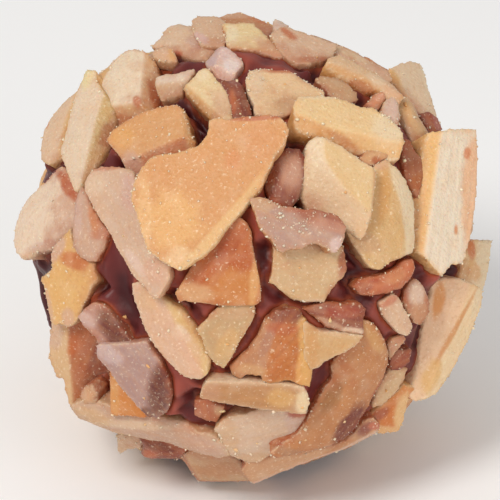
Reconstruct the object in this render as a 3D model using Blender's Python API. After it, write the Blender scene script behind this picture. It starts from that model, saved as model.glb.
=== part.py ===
"""A chocolate truffle rolled in chopped roasted almonds.

The truffle is a ball of chocolate with a small flat foot. Almond pieces are pressed into it all round, in two
loose layers. Each piece is a slab with its sharp corners cut off and its rim bevelled, and the chocolate is
dented wherever a piece sits in it, so that a thin gap stays between all neighbours.

The front pieces are drawn on a plane that faces forwards and up, with x to the right and y up that plane, in
millimetres from the ball's centre. Each is then laid on the ball behind its drawing. The pieces round the back
and underside are shaped and placed by rule.
"""
import math
import random
from functools import partial

import bmesh
import bpy
from mathutils import Matrix, Vector, noise
from mathutils.bvhtree import BVHTree

MM = 0.001
SEED = 7

# The ball, in millimetres
BALL_RADIUS = 18.1        # chocolate between the almonds
NUT_RADIUS = 19.0         # outer face of an almond piece of the lower layer
CENTRE_HEIGHT = 17.7      # of the ball above the surface that it stands on
FOOT_SWELL = 0.75         # the chocolate spreads a little round its foot
FOOT_SPREAD = 0.5         # radians from straight down over which it does
UNEVEN_DEPTH = 0.25
UNEVEN_DETAIL = 3.1       # bumps across the ball, roughly
FRONT_TILT = math.radians(28)

# How pieces meet
GAP = 0.32                # between neighbours
FLOOR_GAP = 0.45          # below the lowest almond piece
LIFT_STEP = 0.12
MAX_LIFT_STEPS = 14
SHRINK = 0.95
MAX_SHRINKS = 7
EDGE_BEVEL = 0.25
BLUNT_CORNER = math.radians(150)
DENT_STEP = 0.12
CORE_CUTS = 17            # cuts along each edge of the cube that becomes the ball

BACK_PIECES = 12
BACK_TRIES = 900
BACK_LIMIT = -0.50        # how far round the back they start: the cosine of the angle from FORWARD

# Front pieces, the lowest first: name, thickness, lift above NUT_RADIUS, how far the slab turns from the ball's
# surface to face forwards (0 to 1), how far back its corners are cut, and its corners.
FRONT = (
    ("slice_crest", 1.4, 0.0, 0.30, 0.6,
     ((-2.7, 19.0), (-1.6, 19.8), (0.6, 19.7), (2.2, 18.7), (0.2, 18.5))),
    ("slice_far_left", 1.7, 0.1, 0.30, 1.0,
     ((-20.1, 1.4), (-19.4, 3.5), (-17.8, 5.6), (-16.6, 6.9), (-15.6, 5.6), (-15.3, 3.0), (-15.8, 1.4),
      (-17.3, -0.1), (-19.4, -0.7))),
    ("wedge_left", 1.8, 0.1, 0.30, 0.4,
     ((-17.5, -2.5), (-16.7, -1.8), (-16.4, 0.2), (-15.5, 0.8), (-14.6, -1.1), (-13.1, -1.3), (-13.1, -2.6),
      (-14.3, -5.0), (-16.6, -6.2))),
    ("pentagon_middle", 1.6, -0.2, 0.20, 0.4,
     ((1.8, -0.4), (1.6, -2.8), (4.2, -4.2), (6.1, -4.3), (8.2, -1.9), (7.8, -0.6), (5.2, 0.1))),
    ("lens_middle", 1.6, -0.1, 0.20, 0.5,
     ((-4.2, -7.0), (-3.8, -5.9), (-2.8, -5.0), (0.3, -5.0), (-0.9, -8.2), (-2.2, -10.0), (-2.9, -9.8))),
    ("oval_left", 1.7, 0.2, 0.20, 0.9,
     ((-10.1, -3.0), (-8.9, -2.7), (-6.2, -5.0), (-4.6, -7.8), (-3.5, -10.4), (-4.8, -11.0), (-7.6, -9.0),
      (-9.3, -6.1))),
    ("slice_low_right", 1.6, 0.0, 0.22, 0.9,
     ((9.9, -6.4), (10.9, -6.5), (11.9, -8.4), (11.5, -11.0), (9.2, -15.0), (7.6, -16.4), (5.2, -16.9),
      (4.7, -15.9), (5.4, -13.4), (7.6, -9.6))),
    ("lump_low_left", 2.3, 0.3, 0.30, 0.5,
     ((-17.0, -8.6), (-16.7, -6.4), (-15.3, -6.3), (-14.7, -7.4), (-14.2, -10.6), (-14.4, -12.4), (-15.3, -13.0),
      (-15.7, -11.0))),
    ("chip_bottom", 1.3, 0.2, 0.25, 0.4,
     ((-5.9, -17.9), (-4.6, -19.4), (-4.0, -19.7), (0.1, -19.5), (-0.7, -18.0), (-3.4, -17.6))),
    ("quad_top_middle", 1.7, -0.1, 0.20, 0.4,
     ((-0.4, 14.1), (0.2, 15.0), (3.2, 15.0), (6.0, 13.4), (3.8, 11.8), (0.7, 11.6))),
    ("chip_upper_right", 1.5, -0.1, 0.20, 0.4,
     ((5.6, 14.3), (7.7, 14.3), (9.1, 13.1), (8.6, 12.6), (6.8, 13.0))),
    ("plank_end_on", 2.2, 0.3, 0.40, 0.5,
     ((11.8, 15.0), (12.7, 15.8), (14.4, 15.8), (15.0, 13.5), (15.6, 11.2), (14.4, 11.9), (12.8, 13.6))),
    ("sliver_upper_right", 1.9, 0.1, 0.35, 0.5,
     ((12.6, 12.8), (13.7, 12.3), (15.2, 9.2), (14.6, 7.9), (13.0, 10.4))),
    ("shard_right", 1.7, 0.1, 0.25, 0.6,
     ((10.9, 6.5), (12.0, 7.5), (13.5, 5.8), (14.2, 3.0), (13.9, -0.2), (11.4, -1.3), (9.9, -1.1), (8.5, 0.8),
      (10.5, 1.8))),
    ("shard_far_right", 1.5, 0.3, 0.34, 0.3,
     ((18.4, 0.9), (20.2, 0.8), (20.1, -1.2), (19.6, -3.4), (18.2, -2.2), (17.9, -1.0))),
    ("slab_far_right", 1.8, 0.5, 0.34, 0.35,
     ((15.4, 9.9), (19.1, 10.2), (19.0, 4.0), (17.8, -1.5), (16.4, -2.3), (14.7, -0.2), (14.7, 5.0))),
    ("slab_low_right", 1.9, 0.5, 0.34, 0.35,
     ((16.5, -2.7), (18.8, -2.1), (19.5, -3.6), (18.2, -7.2), (16.2, -12.1), (14.6, -12.7), (15.3, -8.5))),
    ("slab_top_right", 1.7, 0.1, 0.32, 0.5,
     ((2.2, 18.6), (4.8, 18.3), (7.2, 17.2), (6.1, 15.6), (3.6, 15.8))),
    ("shard_top", 1.5, 0.0, 0.30, 0.4,
     ((-2.3, 18.4), (-1.6, 19.0), (0.2, 18.9), (1.3, 18.1), (2.8, 16.9), (2.3, 16.4), (-1.9, 17.2))),
    ("block_upper_left", 1.9, -0.1, 0.20, 0.4,
     ((-5.6, 13.6), (-4.6, 15.0), (-3.9, 14.9), (-2.3, 13.3), (-1.6, 11.5), (-3.2, 11.6))),
    ("slice_far_upper_left", 1.5, 0.5, 0.34, 0.6,
     ((-17.8, 8.2), (-17.1, 7.2), (-16.0, 8.3), (-15.2, 11.5), (-14.5, 13.7), (-16.4, 12.1), (-17.4, 10.3))),
    ("chip_left", 1.5, 0.2, 0.28, 0.6,
     ((-14.4, 5.0), (-14.9, 3.0), (-14.9, 1.0), (-14.1, -0.7), (-12.9, -0.8), (-12.4, 0.8), (-13.8, 3.2))),
    ("quad_toasted", 2.2, 0.4, 0.22, 0.4,
     ((-12.2, 9.2), (-11.1, 10.4), (-8.8, 11.9), (-6.2, 12.3), (-5.6, 10.2), (-7.4, 9.2), (-9.6, 6.9),
      (-10.3, 6.5))),
    ("plank_right_back", 1.2, 0.2, 0.30, 0.3,
     ((6.9, 17.4), (9.0, 16.8), (11.6, 15.2), (11.3, 14.6), (8.0, 16.3))),
    ("plank_bottom_left", 1.7, 0.2, 0.28, 0.5,
     ((-15.1, -13.1), (-14.3, -14.3), (-11.0, -15.6), (-5.0, -17.1), (-3.4, -17.4), (-3.5, -16.0), (-7.0, -14.1),
      (-11.8, -13.7), (-13.8, -12.3))),
    ("oval_bottom", 1.7, 0.2, 0.25, 0.8,
     ((-2.9, -15.6), (-1.9, -14.1), (1.1, -13.7), (4.3, -13.9), (4.3, -15.6), (2.6, -16.9), (0.4, -17.9),
      (-2.2, -17.2))),
    ("shard_low_right", 1.5, 0.4, 0.22, 0.25,
     ((5.2, -6.5), (9.2, -7.2), (8.6, -8.1), (5.6, -10.0))),
    ("sliver_bottom_right", 1.4, 0.4, 0.25, 0.3,
     ((0.0, -18.2), (0.1, -19.7), (4.6, -18.2), (8.4, -16.7), (10.9, -15.0), (10.2, -14.2), (7.9, -16.1),
      (4.0, -17.1))),
    ("corner_bottom_right", 1.7, 0.4, 0.28, 0.35,
     ((10.4, -13.9), (13.0, -11.5), (13.2, -12.2), (12.6, -14.9), (11.1, -15.2))),
    ("shard_pink", 1.6, 0.3, 0.20, 0.3,
     ((0.1, 4.5), (3.5, 3.6), (7.9, 2.1), (7.2, -0.1), (6.6, -0.2), (5.7, 0.5), (4.5, 0.5), (3.3, -0.1),
      (2.2, 0.1), (0.9, 2.2))),
    ("slab_upper_right", 2.0, 0.5, 0.22, 0.35,
     ((3.8, 11.3), (4.3, 13.0), (7.6, 12.8), (9.0, 12.0), (11.6, 11.4), (12.9, 10.0), (13.0, 8.2), (6.6, 10.0))),
    ("plank_right_front", 1.8, 0.7, 0.30, 0.35,
     ((6.6, 15.7), (7.9, 16.2), (12.8, 13.5), (12.5, 12.8), (8.6, 14.9))),
    ("tusk", 1.9, 0.6, 0.32, 0.6,
     ((-14.6, 5.4), (-15.9, 8.2), (-15.3, 11.2), (-14.0, 13.8), (-12.9, 12.2), (-12.6, 8.5))),
    ("knob_upper_left", 2.4, 0.5, 0.30, 0.7,
     ((-13.2, 14.1), (-12.1, 15.3), (-9.8, 17.1), (-8.9, 16.5), (-8.7, 13.1), (-10.2, 11.6), (-11.9, 12.2))),
    ("ridge_top", 1.6, 0.5, 0.32, 0.4,
     ((-4.7, 19.1), (-4.2, 19.6), (-2.7, 19.5), (-2.6, 17.5), (-3.5, 17.3))),
    ("block_top_left", 1.9, 0.3, 0.32, 0.6,
     ((-7.8, 17.3), (-6.8, 19.0), (-5.3, 18.9), (-4.1, 16.7), (-7.3, 16.7))),
    ("chip_top_pink", 1.4, 0.3, 0.24, 0.3,
     ((-3.8, 16.4), (-2.4, 17.1), (-0.6, 15.7), (-1.4, 14.5), (-3.1, 14.7))),
    ("slice_lilac", 1.7, 0.4, 0.25, 0.5,
     ((-13.0, -8.1), (-12.7, -9.5), (-10.4, -12.2), (-8.4, -14.1), (-6.8, -12.7), (-6.7, -10.8), (-8.7, -7.8))),
    ("shard_film", 1.7, 0.2, 0.22, 0.5,
     ((5.3, -5.6), (6.4, -4.8), (8.1, -4.5), (9.7, -5.6), (9.2, -6.5), (6.2, -6.1))),
    ("chip_orange_right", 1.6, 0.3, 0.24, 0.6,
     ((8.8, -3.0), (10.8, -1.8), (13.7, -0.9), (13.9, -2.2), (11.9, -3.8), (9.4, -3.9))),
    ("slab_orange", 1.7, 0.2, 0.20, 0.4,
     ((-1.3, 2.2), (0.1, 1.6), (0.8, -3.7), (0.4, -4.6), (-6.2, -4.2), (-6.1, -3.3))),
    ("slice_long_left", 1.7, 0.7, 0.22, 0.6,
     ((-13.8, 6.0), (-13.0, 6.8), (-11.1, 6.9), (-9.8, 5.8), (-9.4, 2.6), (-8.3, -0.1), (-6.8, -1.8),
      (-7.8, -3.8), (-10.2, -1.8), (-12.0, 0.9), (-13.3, 3.5))),
    ("plank_bottom_middle", 1.7, 0.7, 0.24, 0.35,
     ((-4.1, -12.4), (-3.7, -11.1), (-2.2, -11.0), (-1.4, -11.5), (4.7, -12.1), (4.8, -13.5), (-0.3, -13.1))),
    ("nut_coated", 2.2, 0.3, 0.20, 0.7,
     ((1.3, 5.6), (1.9, 7.7), (3.4, 8.5), (4.6, 7.7), (4.5, 5.4), (3.3, 3.9), (1.9, 4.1))),
    ("lump_orange", 2.3, 0.5, 0.20, 0.35,
     ((-1.6, -10.8), (-1.0, -9.4), (0.2, -8.1), (1.3, -5.9), (2.8, -5.1), (4.2, -5.6), (4.9, -8.1), (5.0, -11.6),
      (2.6, -10.9), (1.6, -11.3), (0.5, -10.8))),
    ("block_right", 2.8, 0.9, 0.18, 0.3,
     ((5.3, 9.4), (8.6, 8.4), (10.7, 6.5), (10.2, 1.4), (7.6, 3.0), (5.3, 5.8))),
    ("heart", 1.9, 1.2, 0.25, 0.5,
     ((-3.7, 10.9), (-1.6, 11.1), (2.3, 11.3), (3.1, 10.2), (1.2, 6.7), (-1.2, 3.1), (-5.7, -1.3), (-7.1, -0.9),
      (-8.7, 0.4), (-9.9, 4.3), (-9.2, 7.0), (-7.6, 8.3), (-4.5, 8.6))),
)

# Families of almond piece for the back: name, ranges of length, width and thickness, corner cut, share of pieces
FAMILIES = (
    ("slice", (11.0, 14.0), (6.5, 8.0), (1.5, 1.8), 1.1, 0.45),
    ("sliver", (12.0, 15.0), (3.2, 4.2), (1.8, 2.2), 0.5, 0.25),
    ("block", (8.0, 10.5), (6.0, 7.5), (2.0, 2.5), 0.4, 0.30),
)

RIGHT = Vector((1, 0, 0))
UP_PLANE = Vector((0, math.sin(FRONT_TILT), math.cos(FRONT_TILT)))
FORWARD = Vector((0, -math.cos(FRONT_TILT), math.sin(FRONT_TILT)))
DRAWING_TO_BALL = Matrix((RIGHT, UP_PLANE, FORWARD)).transposed()


def clear_scene():
    for obj in list(bpy.data.objects):
        bpy.data.objects.remove(obj)


def material(name, colour, roughness):
    mat = bpy.data.materials.new(name)
    mat.use_nodes = True
    shader = mat.node_tree.nodes["Principled BSDF"]
    shader.inputs["Base Color"].default_value = (*colour, 1)
    shader.inputs["Roughness"].default_value = roughness
    shader.inputs["Metallic"].default_value = 0.0
    return mat


def cut_corners(corners, cut):
    """Each sharp corner becomes two points, cut away along its two sides; a blunt one stays."""
    points = []
    for i, here in enumerate(corners):
        before = corners[i - 1] - here
        after = corners[(i + 1) % len(corners)] - here
        if before.angle(after) > BLUNT_CORNER:
            points.append(here)
            continue
        for side in (before, after):
            points.append(here + side * min(cut / side.length, 0.4))
    return points


def slab(top, thickness):
    """A bmesh slab under the outline top, whose walls run towards the ball's centre, with a bevelled rim."""
    bm = bmesh.new()
    face = bm.faces.new([bm.verts.new(p) for p in top])
    lower = bmesh.ops.extrude_face_region(bm, geom=[face])["geom"]
    for vert in (g for g in lower if isinstance(g, bmesh.types.BMVert)):
        vert.co *= 1 - thickness / vert.co.length
    bmesh.ops.recalc_face_normals(bm, faces=bm.faces)
    bmesh.ops.bevel(bm, geom=face.edges[:], offset=EDGE_BEVEL, segments=1, affect="EDGES", clamp_overlap=True)
    return bm


def tree(bm, swell=0.0):
    """A search tree of the surface of bm, moved outwards by swell."""
    bm.normal_update()
    bm.verts.index_update()
    points = [v.co + v.normal * swell for v in bm.verts]
    return BVHTree.FromPolygons(points, [[v.index for v in f.verts] for f in bm.faces])


def lowest(bm):
    return min(v.co.z for v in bm.verts)


def is_clear(bm, placed):
    if lowest(bm) < FLOOR_GAP - CENTRE_HEIGHT:
        return False
    around = tree(bm, GAP)
    return not any(around.overlap(other) for other in placed)


def settle(make, push, placed):
    """The first shape that touches nothing placed: make(scale), moved along push until it is clear."""
    scale = 1.0
    for _ in range(MAX_SHRINKS):
        for step in range(MAX_LIFT_STEPS):
            bm = make(scale)
            bmesh.ops.translate(bm, verts=bm.verts, vec=push * step * LIFT_STEP)
            if is_clear(bm, placed):
                return bm
            bm.free()
        scale *= SHRINK
    return None


def front_slab(corners, thickness, lift, facing, cut, scale):
    """A slab whose outline, seen along FORWARD, is the drawn one."""
    drawn = [Vector((x, y, 0)) for x, y in corners]
    middle = sum(drawn, Vector()) / len(drawn)
    radius = NUT_RADIUS + lift
    middle.z = math.sqrt(max(radius ** 2 - middle.length_squared, 1.0))
    normal = middle.normalized().lerp(Vector((0, 0, 1)), facing).normalized()
    outline = []
    for point in cut_corners(drawn, cut):
        across = (point - middle) * scale
        across.z = -(normal.x * across.x + normal.y * across.y) / normal.z
        outline.append(DRAWING_TO_BALL @ (middle + across))
    return slab(outline, thickness)


def loose_outline(rng, family):
    """The outline and thickness of a broken piece of a family: an uneven polygon about its own middle."""
    _, lengths, widths, thicknesses, cut, _ = family
    length = rng.uniform(*lengths)
    width = rng.uniform(*widths)
    count = rng.choice((6, 7, 8))
    start = rng.uniform(0, math.tau)
    corners = []
    for i in range(count):
        angle = start + (i + rng.uniform(-0.22, 0.22)) * math.tau / count
        reach = rng.uniform(0.86, 1.08) / max(abs(math.cos(angle)), abs(math.sin(angle))) ** 0.5
        corners.append(Vector((reach * length / 2 * math.cos(angle), reach * width / 2 * math.sin(angle), 0)))
    return cut_corners(corners, cut), rng.uniform(*thicknesses)


def back_slab(outline, thickness, turn, scale):
    return slab([turn @ (p * scale + Vector((0, 0, NUT_RADIUS))) for p in outline], thickness)


def spread_directions(count):
    """Directions spread evenly over the ball."""
    golden = math.pi * (3 - math.sqrt(5))
    for i in range(count):
        z = 1 - 2 * (i + 0.5) / count
        r = math.sqrt(1 - z * z)
        yield Vector((r * math.cos(golden * i), r * math.sin(golden * i), z))


def front_pieces():
    """The drawn pieces, as (name, bmesh, search tree)."""
    placed = []
    for name, thickness, lift, facing, cut, corners in FRONT:
        make = partial(front_slab, corners, thickness, lift, facing, cut)
        bm = settle(make, FORWARD, [t for _, _, t in placed])
        if bm is None:
            raise RuntimeError("no room for " + name)
        placed.append((name, bm, tree(bm)))
    return placed


def back_pieces(placed):
    """Pieces where the front ones leave room, each in the direction that is furthest from those placed."""
    rng = random.Random(SEED)
    directions = [d for d in spread_directions(BACK_TRIES) if d.dot(FORWARD) < BACK_LIMIT]
    shares = [family[-1] for family in FAMILIES]
    count = 0
    while count < BACK_PIECES and directions:
        trees = [t for _, _, t in placed]
        directions.sort(key=lambda d: min(t.find_nearest(d * NUT_RADIUS)[3] for t in trees))
        direction = directions.pop()
        family = rng.choices(FAMILIES, shares)[0]
        outline, thickness = loose_outline(rng, family)
        spin = Matrix.Rotation(rng.uniform(0, math.tau), 3, "Z")
        turn = Vector((0, 0, 1)).rotation_difference(direction).to_matrix() @ spin
        bm = settle(partial(back_slab, outline, thickness, turn), direction, trees)
        if bm is None:
            continue
        count += 1
        placed.append((f"{family[0]}_back_{count:02d}", bm, tree(bm)))
    return placed


def uneven_ball():
    """The chocolate before the almonds go in: a cube's grid spread evenly over a slightly uneven ball."""
    bm = bmesh.new()
    bmesh.ops.create_cube(bm, size=2)
    bmesh.ops.subdivide_edges(bm, edges=bm.edges, cuts=CORE_CUTS, use_grid_fill=True)
    for vert in bm.verts:
        direction = Vector(math.tan(c * math.pi / 4) for c in vert.co).normalized()
        from_below = math.acos(max(-1.0, min(1.0, -direction.z)))
        swell = FOOT_SWELL * max(0.0, 1 - (from_below / FOOT_SPREAD) ** 2)
        uneven = UNEVEN_DEPTH * noise.noise(direction * UNEVEN_DETAIL)
        vert.co = direction * (BALL_RADIUS + swell + uneven)
    return bm


def is_under(vert, swollen):
    """Whether a piece lies between vert and the ball's centre."""
    direction = vert.co.normalized()
    return any(other.ray_cast(Vector(), direction, vert.co.length)[0] for other in swollen)


def dent(bm, swollen):
    """Lowers the ball step by step wherever it touches or covers a piece."""
    while True:
        surface = tree(bm)
        bm.faces.ensure_lookup_table()
        touching = {i for other in swollen for i, _ in surface.overlap(other)}
        high = {vert for i in touching for vert in bm.faces[i].verts}
        high.update(vert for vert in bm.verts if is_under(vert, swollen))
        if not high:
            return
        for vert in high:
            vert.co *= 1 - DENT_STEP / vert.co.length


def chocolate(pieces):
    """The chocolate ball, dented under every piece, with its foot cut flat."""
    bm = uneven_ball()
    dent(bm, [tree(piece, GAP) for _, piece, _ in pieces])
    everything = bm.verts[:] + bm.edges[:] + bm.faces[:]
    bmesh.ops.bisect_plane(bm, geom=everything, dist=1e-5, plane_co=(0, 0, -CENTRE_HEIGHT),
                           plane_no=(0, 0, -1), clear_outer=True)
    bmesh.ops.contextual_create(bm, geom=[edge for edge in bm.edges if edge.is_boundary])
    bmesh.ops.recalc_face_normals(bm, faces=bm.faces)
    return bm


def add_object(name, bm, shift, mat, collection):
    bmesh.ops.translate(bm, verts=bm.verts, vec=shift)
    bmesh.ops.scale(bm, verts=bm.verts, vec=(MM, MM, MM))
    mesh = bpy.data.meshes.new(name)
    bm.to_mesh(mesh)
    bm.free()
    mesh.materials.append(mat)
    obj = bpy.data.objects.new(name, mesh)
    collection.objects.link(obj)
    return obj


def main():
    clear_scene()
    collection = bpy.data.collections.new("chocolate_truffle")
    bpy.context.scene.collection.children.link(collection)
    almond = material("almond", (0.76, 0.57, 0.36), 0.5)
    cocoa = material("milk_chocolate", (0.18, 0.055, 0.037), 0.35)

    pieces = back_pieces(front_pieces())
    ball = chocolate(pieces)
    points = [v.co for _, piece, _ in pieces for v in piece.verts] + [v.co for v in ball.verts]
    middle = [(min(p[i] for p in points) + max(p[i] for p in points)) / 2 for i in (0, 1)]
    shift = Vector((-middle[0], -middle[1], CENTRE_HEIGHT))

    obj = add_object("chocolate", ball, shift, cocoa, collection)
    obj.data.shade_smooth()
    for name, piece, _ in pieces:
        add_object("almond_" + name, piece, shift, almond, collection)


main()
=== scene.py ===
"""The looks of a chocolate truffle rolled in chopped roasted almonds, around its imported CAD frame.

Lengths here are millimetres from the middle of the ball until a mesh is finished. "Drawn" coordinates are those of
the plane that the front pieces were drawn on: x to the right, y up the plane, z towards the camera.
"""
import math
import random

import bmesh
import bpy
import numpy as np
from mathutils import Matrix, Vector
from mathutils.bvhtree import BVHTree

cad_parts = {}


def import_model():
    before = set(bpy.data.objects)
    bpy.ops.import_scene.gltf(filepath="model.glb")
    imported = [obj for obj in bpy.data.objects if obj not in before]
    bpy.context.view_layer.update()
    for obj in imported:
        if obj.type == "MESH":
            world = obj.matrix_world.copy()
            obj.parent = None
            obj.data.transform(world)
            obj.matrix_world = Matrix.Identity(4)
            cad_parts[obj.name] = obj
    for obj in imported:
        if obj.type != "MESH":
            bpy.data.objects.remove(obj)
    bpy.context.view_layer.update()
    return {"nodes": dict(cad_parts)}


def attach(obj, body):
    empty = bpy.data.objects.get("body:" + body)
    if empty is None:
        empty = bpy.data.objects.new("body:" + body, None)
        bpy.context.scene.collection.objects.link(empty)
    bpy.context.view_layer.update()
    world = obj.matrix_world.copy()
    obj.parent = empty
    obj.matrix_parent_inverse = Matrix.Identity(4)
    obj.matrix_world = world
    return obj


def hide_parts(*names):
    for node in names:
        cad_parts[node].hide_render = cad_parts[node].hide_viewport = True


MM = 0.001
CAMERA_AWAY = 420.0
CENTRE = np.array((-0.1927, 0.2906, 17.7))    # of the ball, in the row frame
BALL_RADIUS = 18.1
NUT_RADIUS = 19.0
FRONT_TILT = math.radians(28)
RIGHT = Vector((1, 0, 0))
UP_PLANE = Vector((0, math.sin(FRONT_TILT), math.cos(FRONT_TILT)))
FORWARD = Vector((0, -math.cos(FRONT_TILT), math.sin(FRONT_TILT)))
DRAWING_TO_BALL = Matrix((RIGHT, UP_PLANE, FORWARD)).transposed()
KEEP_SIZE = (0.5, -0.51)  # evening out that doesn't shrink a shape
DRAWN = np.array((RIGHT, UP_PLANE, FORWARD))  # rows: ball coordinates @ DRAWN.T are drawn coordinates

VOXEL = 0.16
CHIP_VOXEL = 0.3
SWELL = 0.17              # the CAD keeps gaps between its solids; the real pieces touch
TONE = 0.82               # the colours here are as the photo shows them; the almonds are this much darker
SEED = 11

CHIP_DIRECTIONS = 2600
CHIP_LIMIT = 0.5          # how far round the other chips start: the cosine of the angle from FORWARD
CHIP_ROOM = 0.9          # the least room that still gets a chip
CHIP_REACH = 4.2          # half the width of the largest
DUST_GRAINS = 3200
CRUMBS = 130

# Colours, as they look on a screen
IVORY = (240, 217, 180)
BUTTER = (235, 198, 146)
CREAM = (233, 204, 172)
PEACH = (228, 184, 150)
SAND = (220, 178, 132)
TAN = (206, 162, 122)
GOLD = (228, 176, 112)
TOAST = (230, 170, 108)
BISCUIT = (200, 136, 90)
ORANGE = (204, 116, 62)
ROSE = (212, 172, 156)
MAUVE = (190, 148, 138)
RUST = (166, 80, 46)
FILM = (142, 78, 58)
# painted shade: the darkest cocoa, laid in the chocolate's low hollows
COCOA_PAINTED_SHADE = (66, 22, 24)
COCOA = (100, 39, 37)
# painted highlight: a pale pinkish cocoa for the chocolate's raised parts
COCOA_PAINTED_HIGHLIGHT = (164, 80, 64)

DEFAULT_LOOK = dict(face=CREAM, wall=GOLD, soft=0, dome=0.08, ragged=0.10, grain=0.5, fibre=0.0, film=0.6,
                    dust=1.0, facets=(), marks=())
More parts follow.
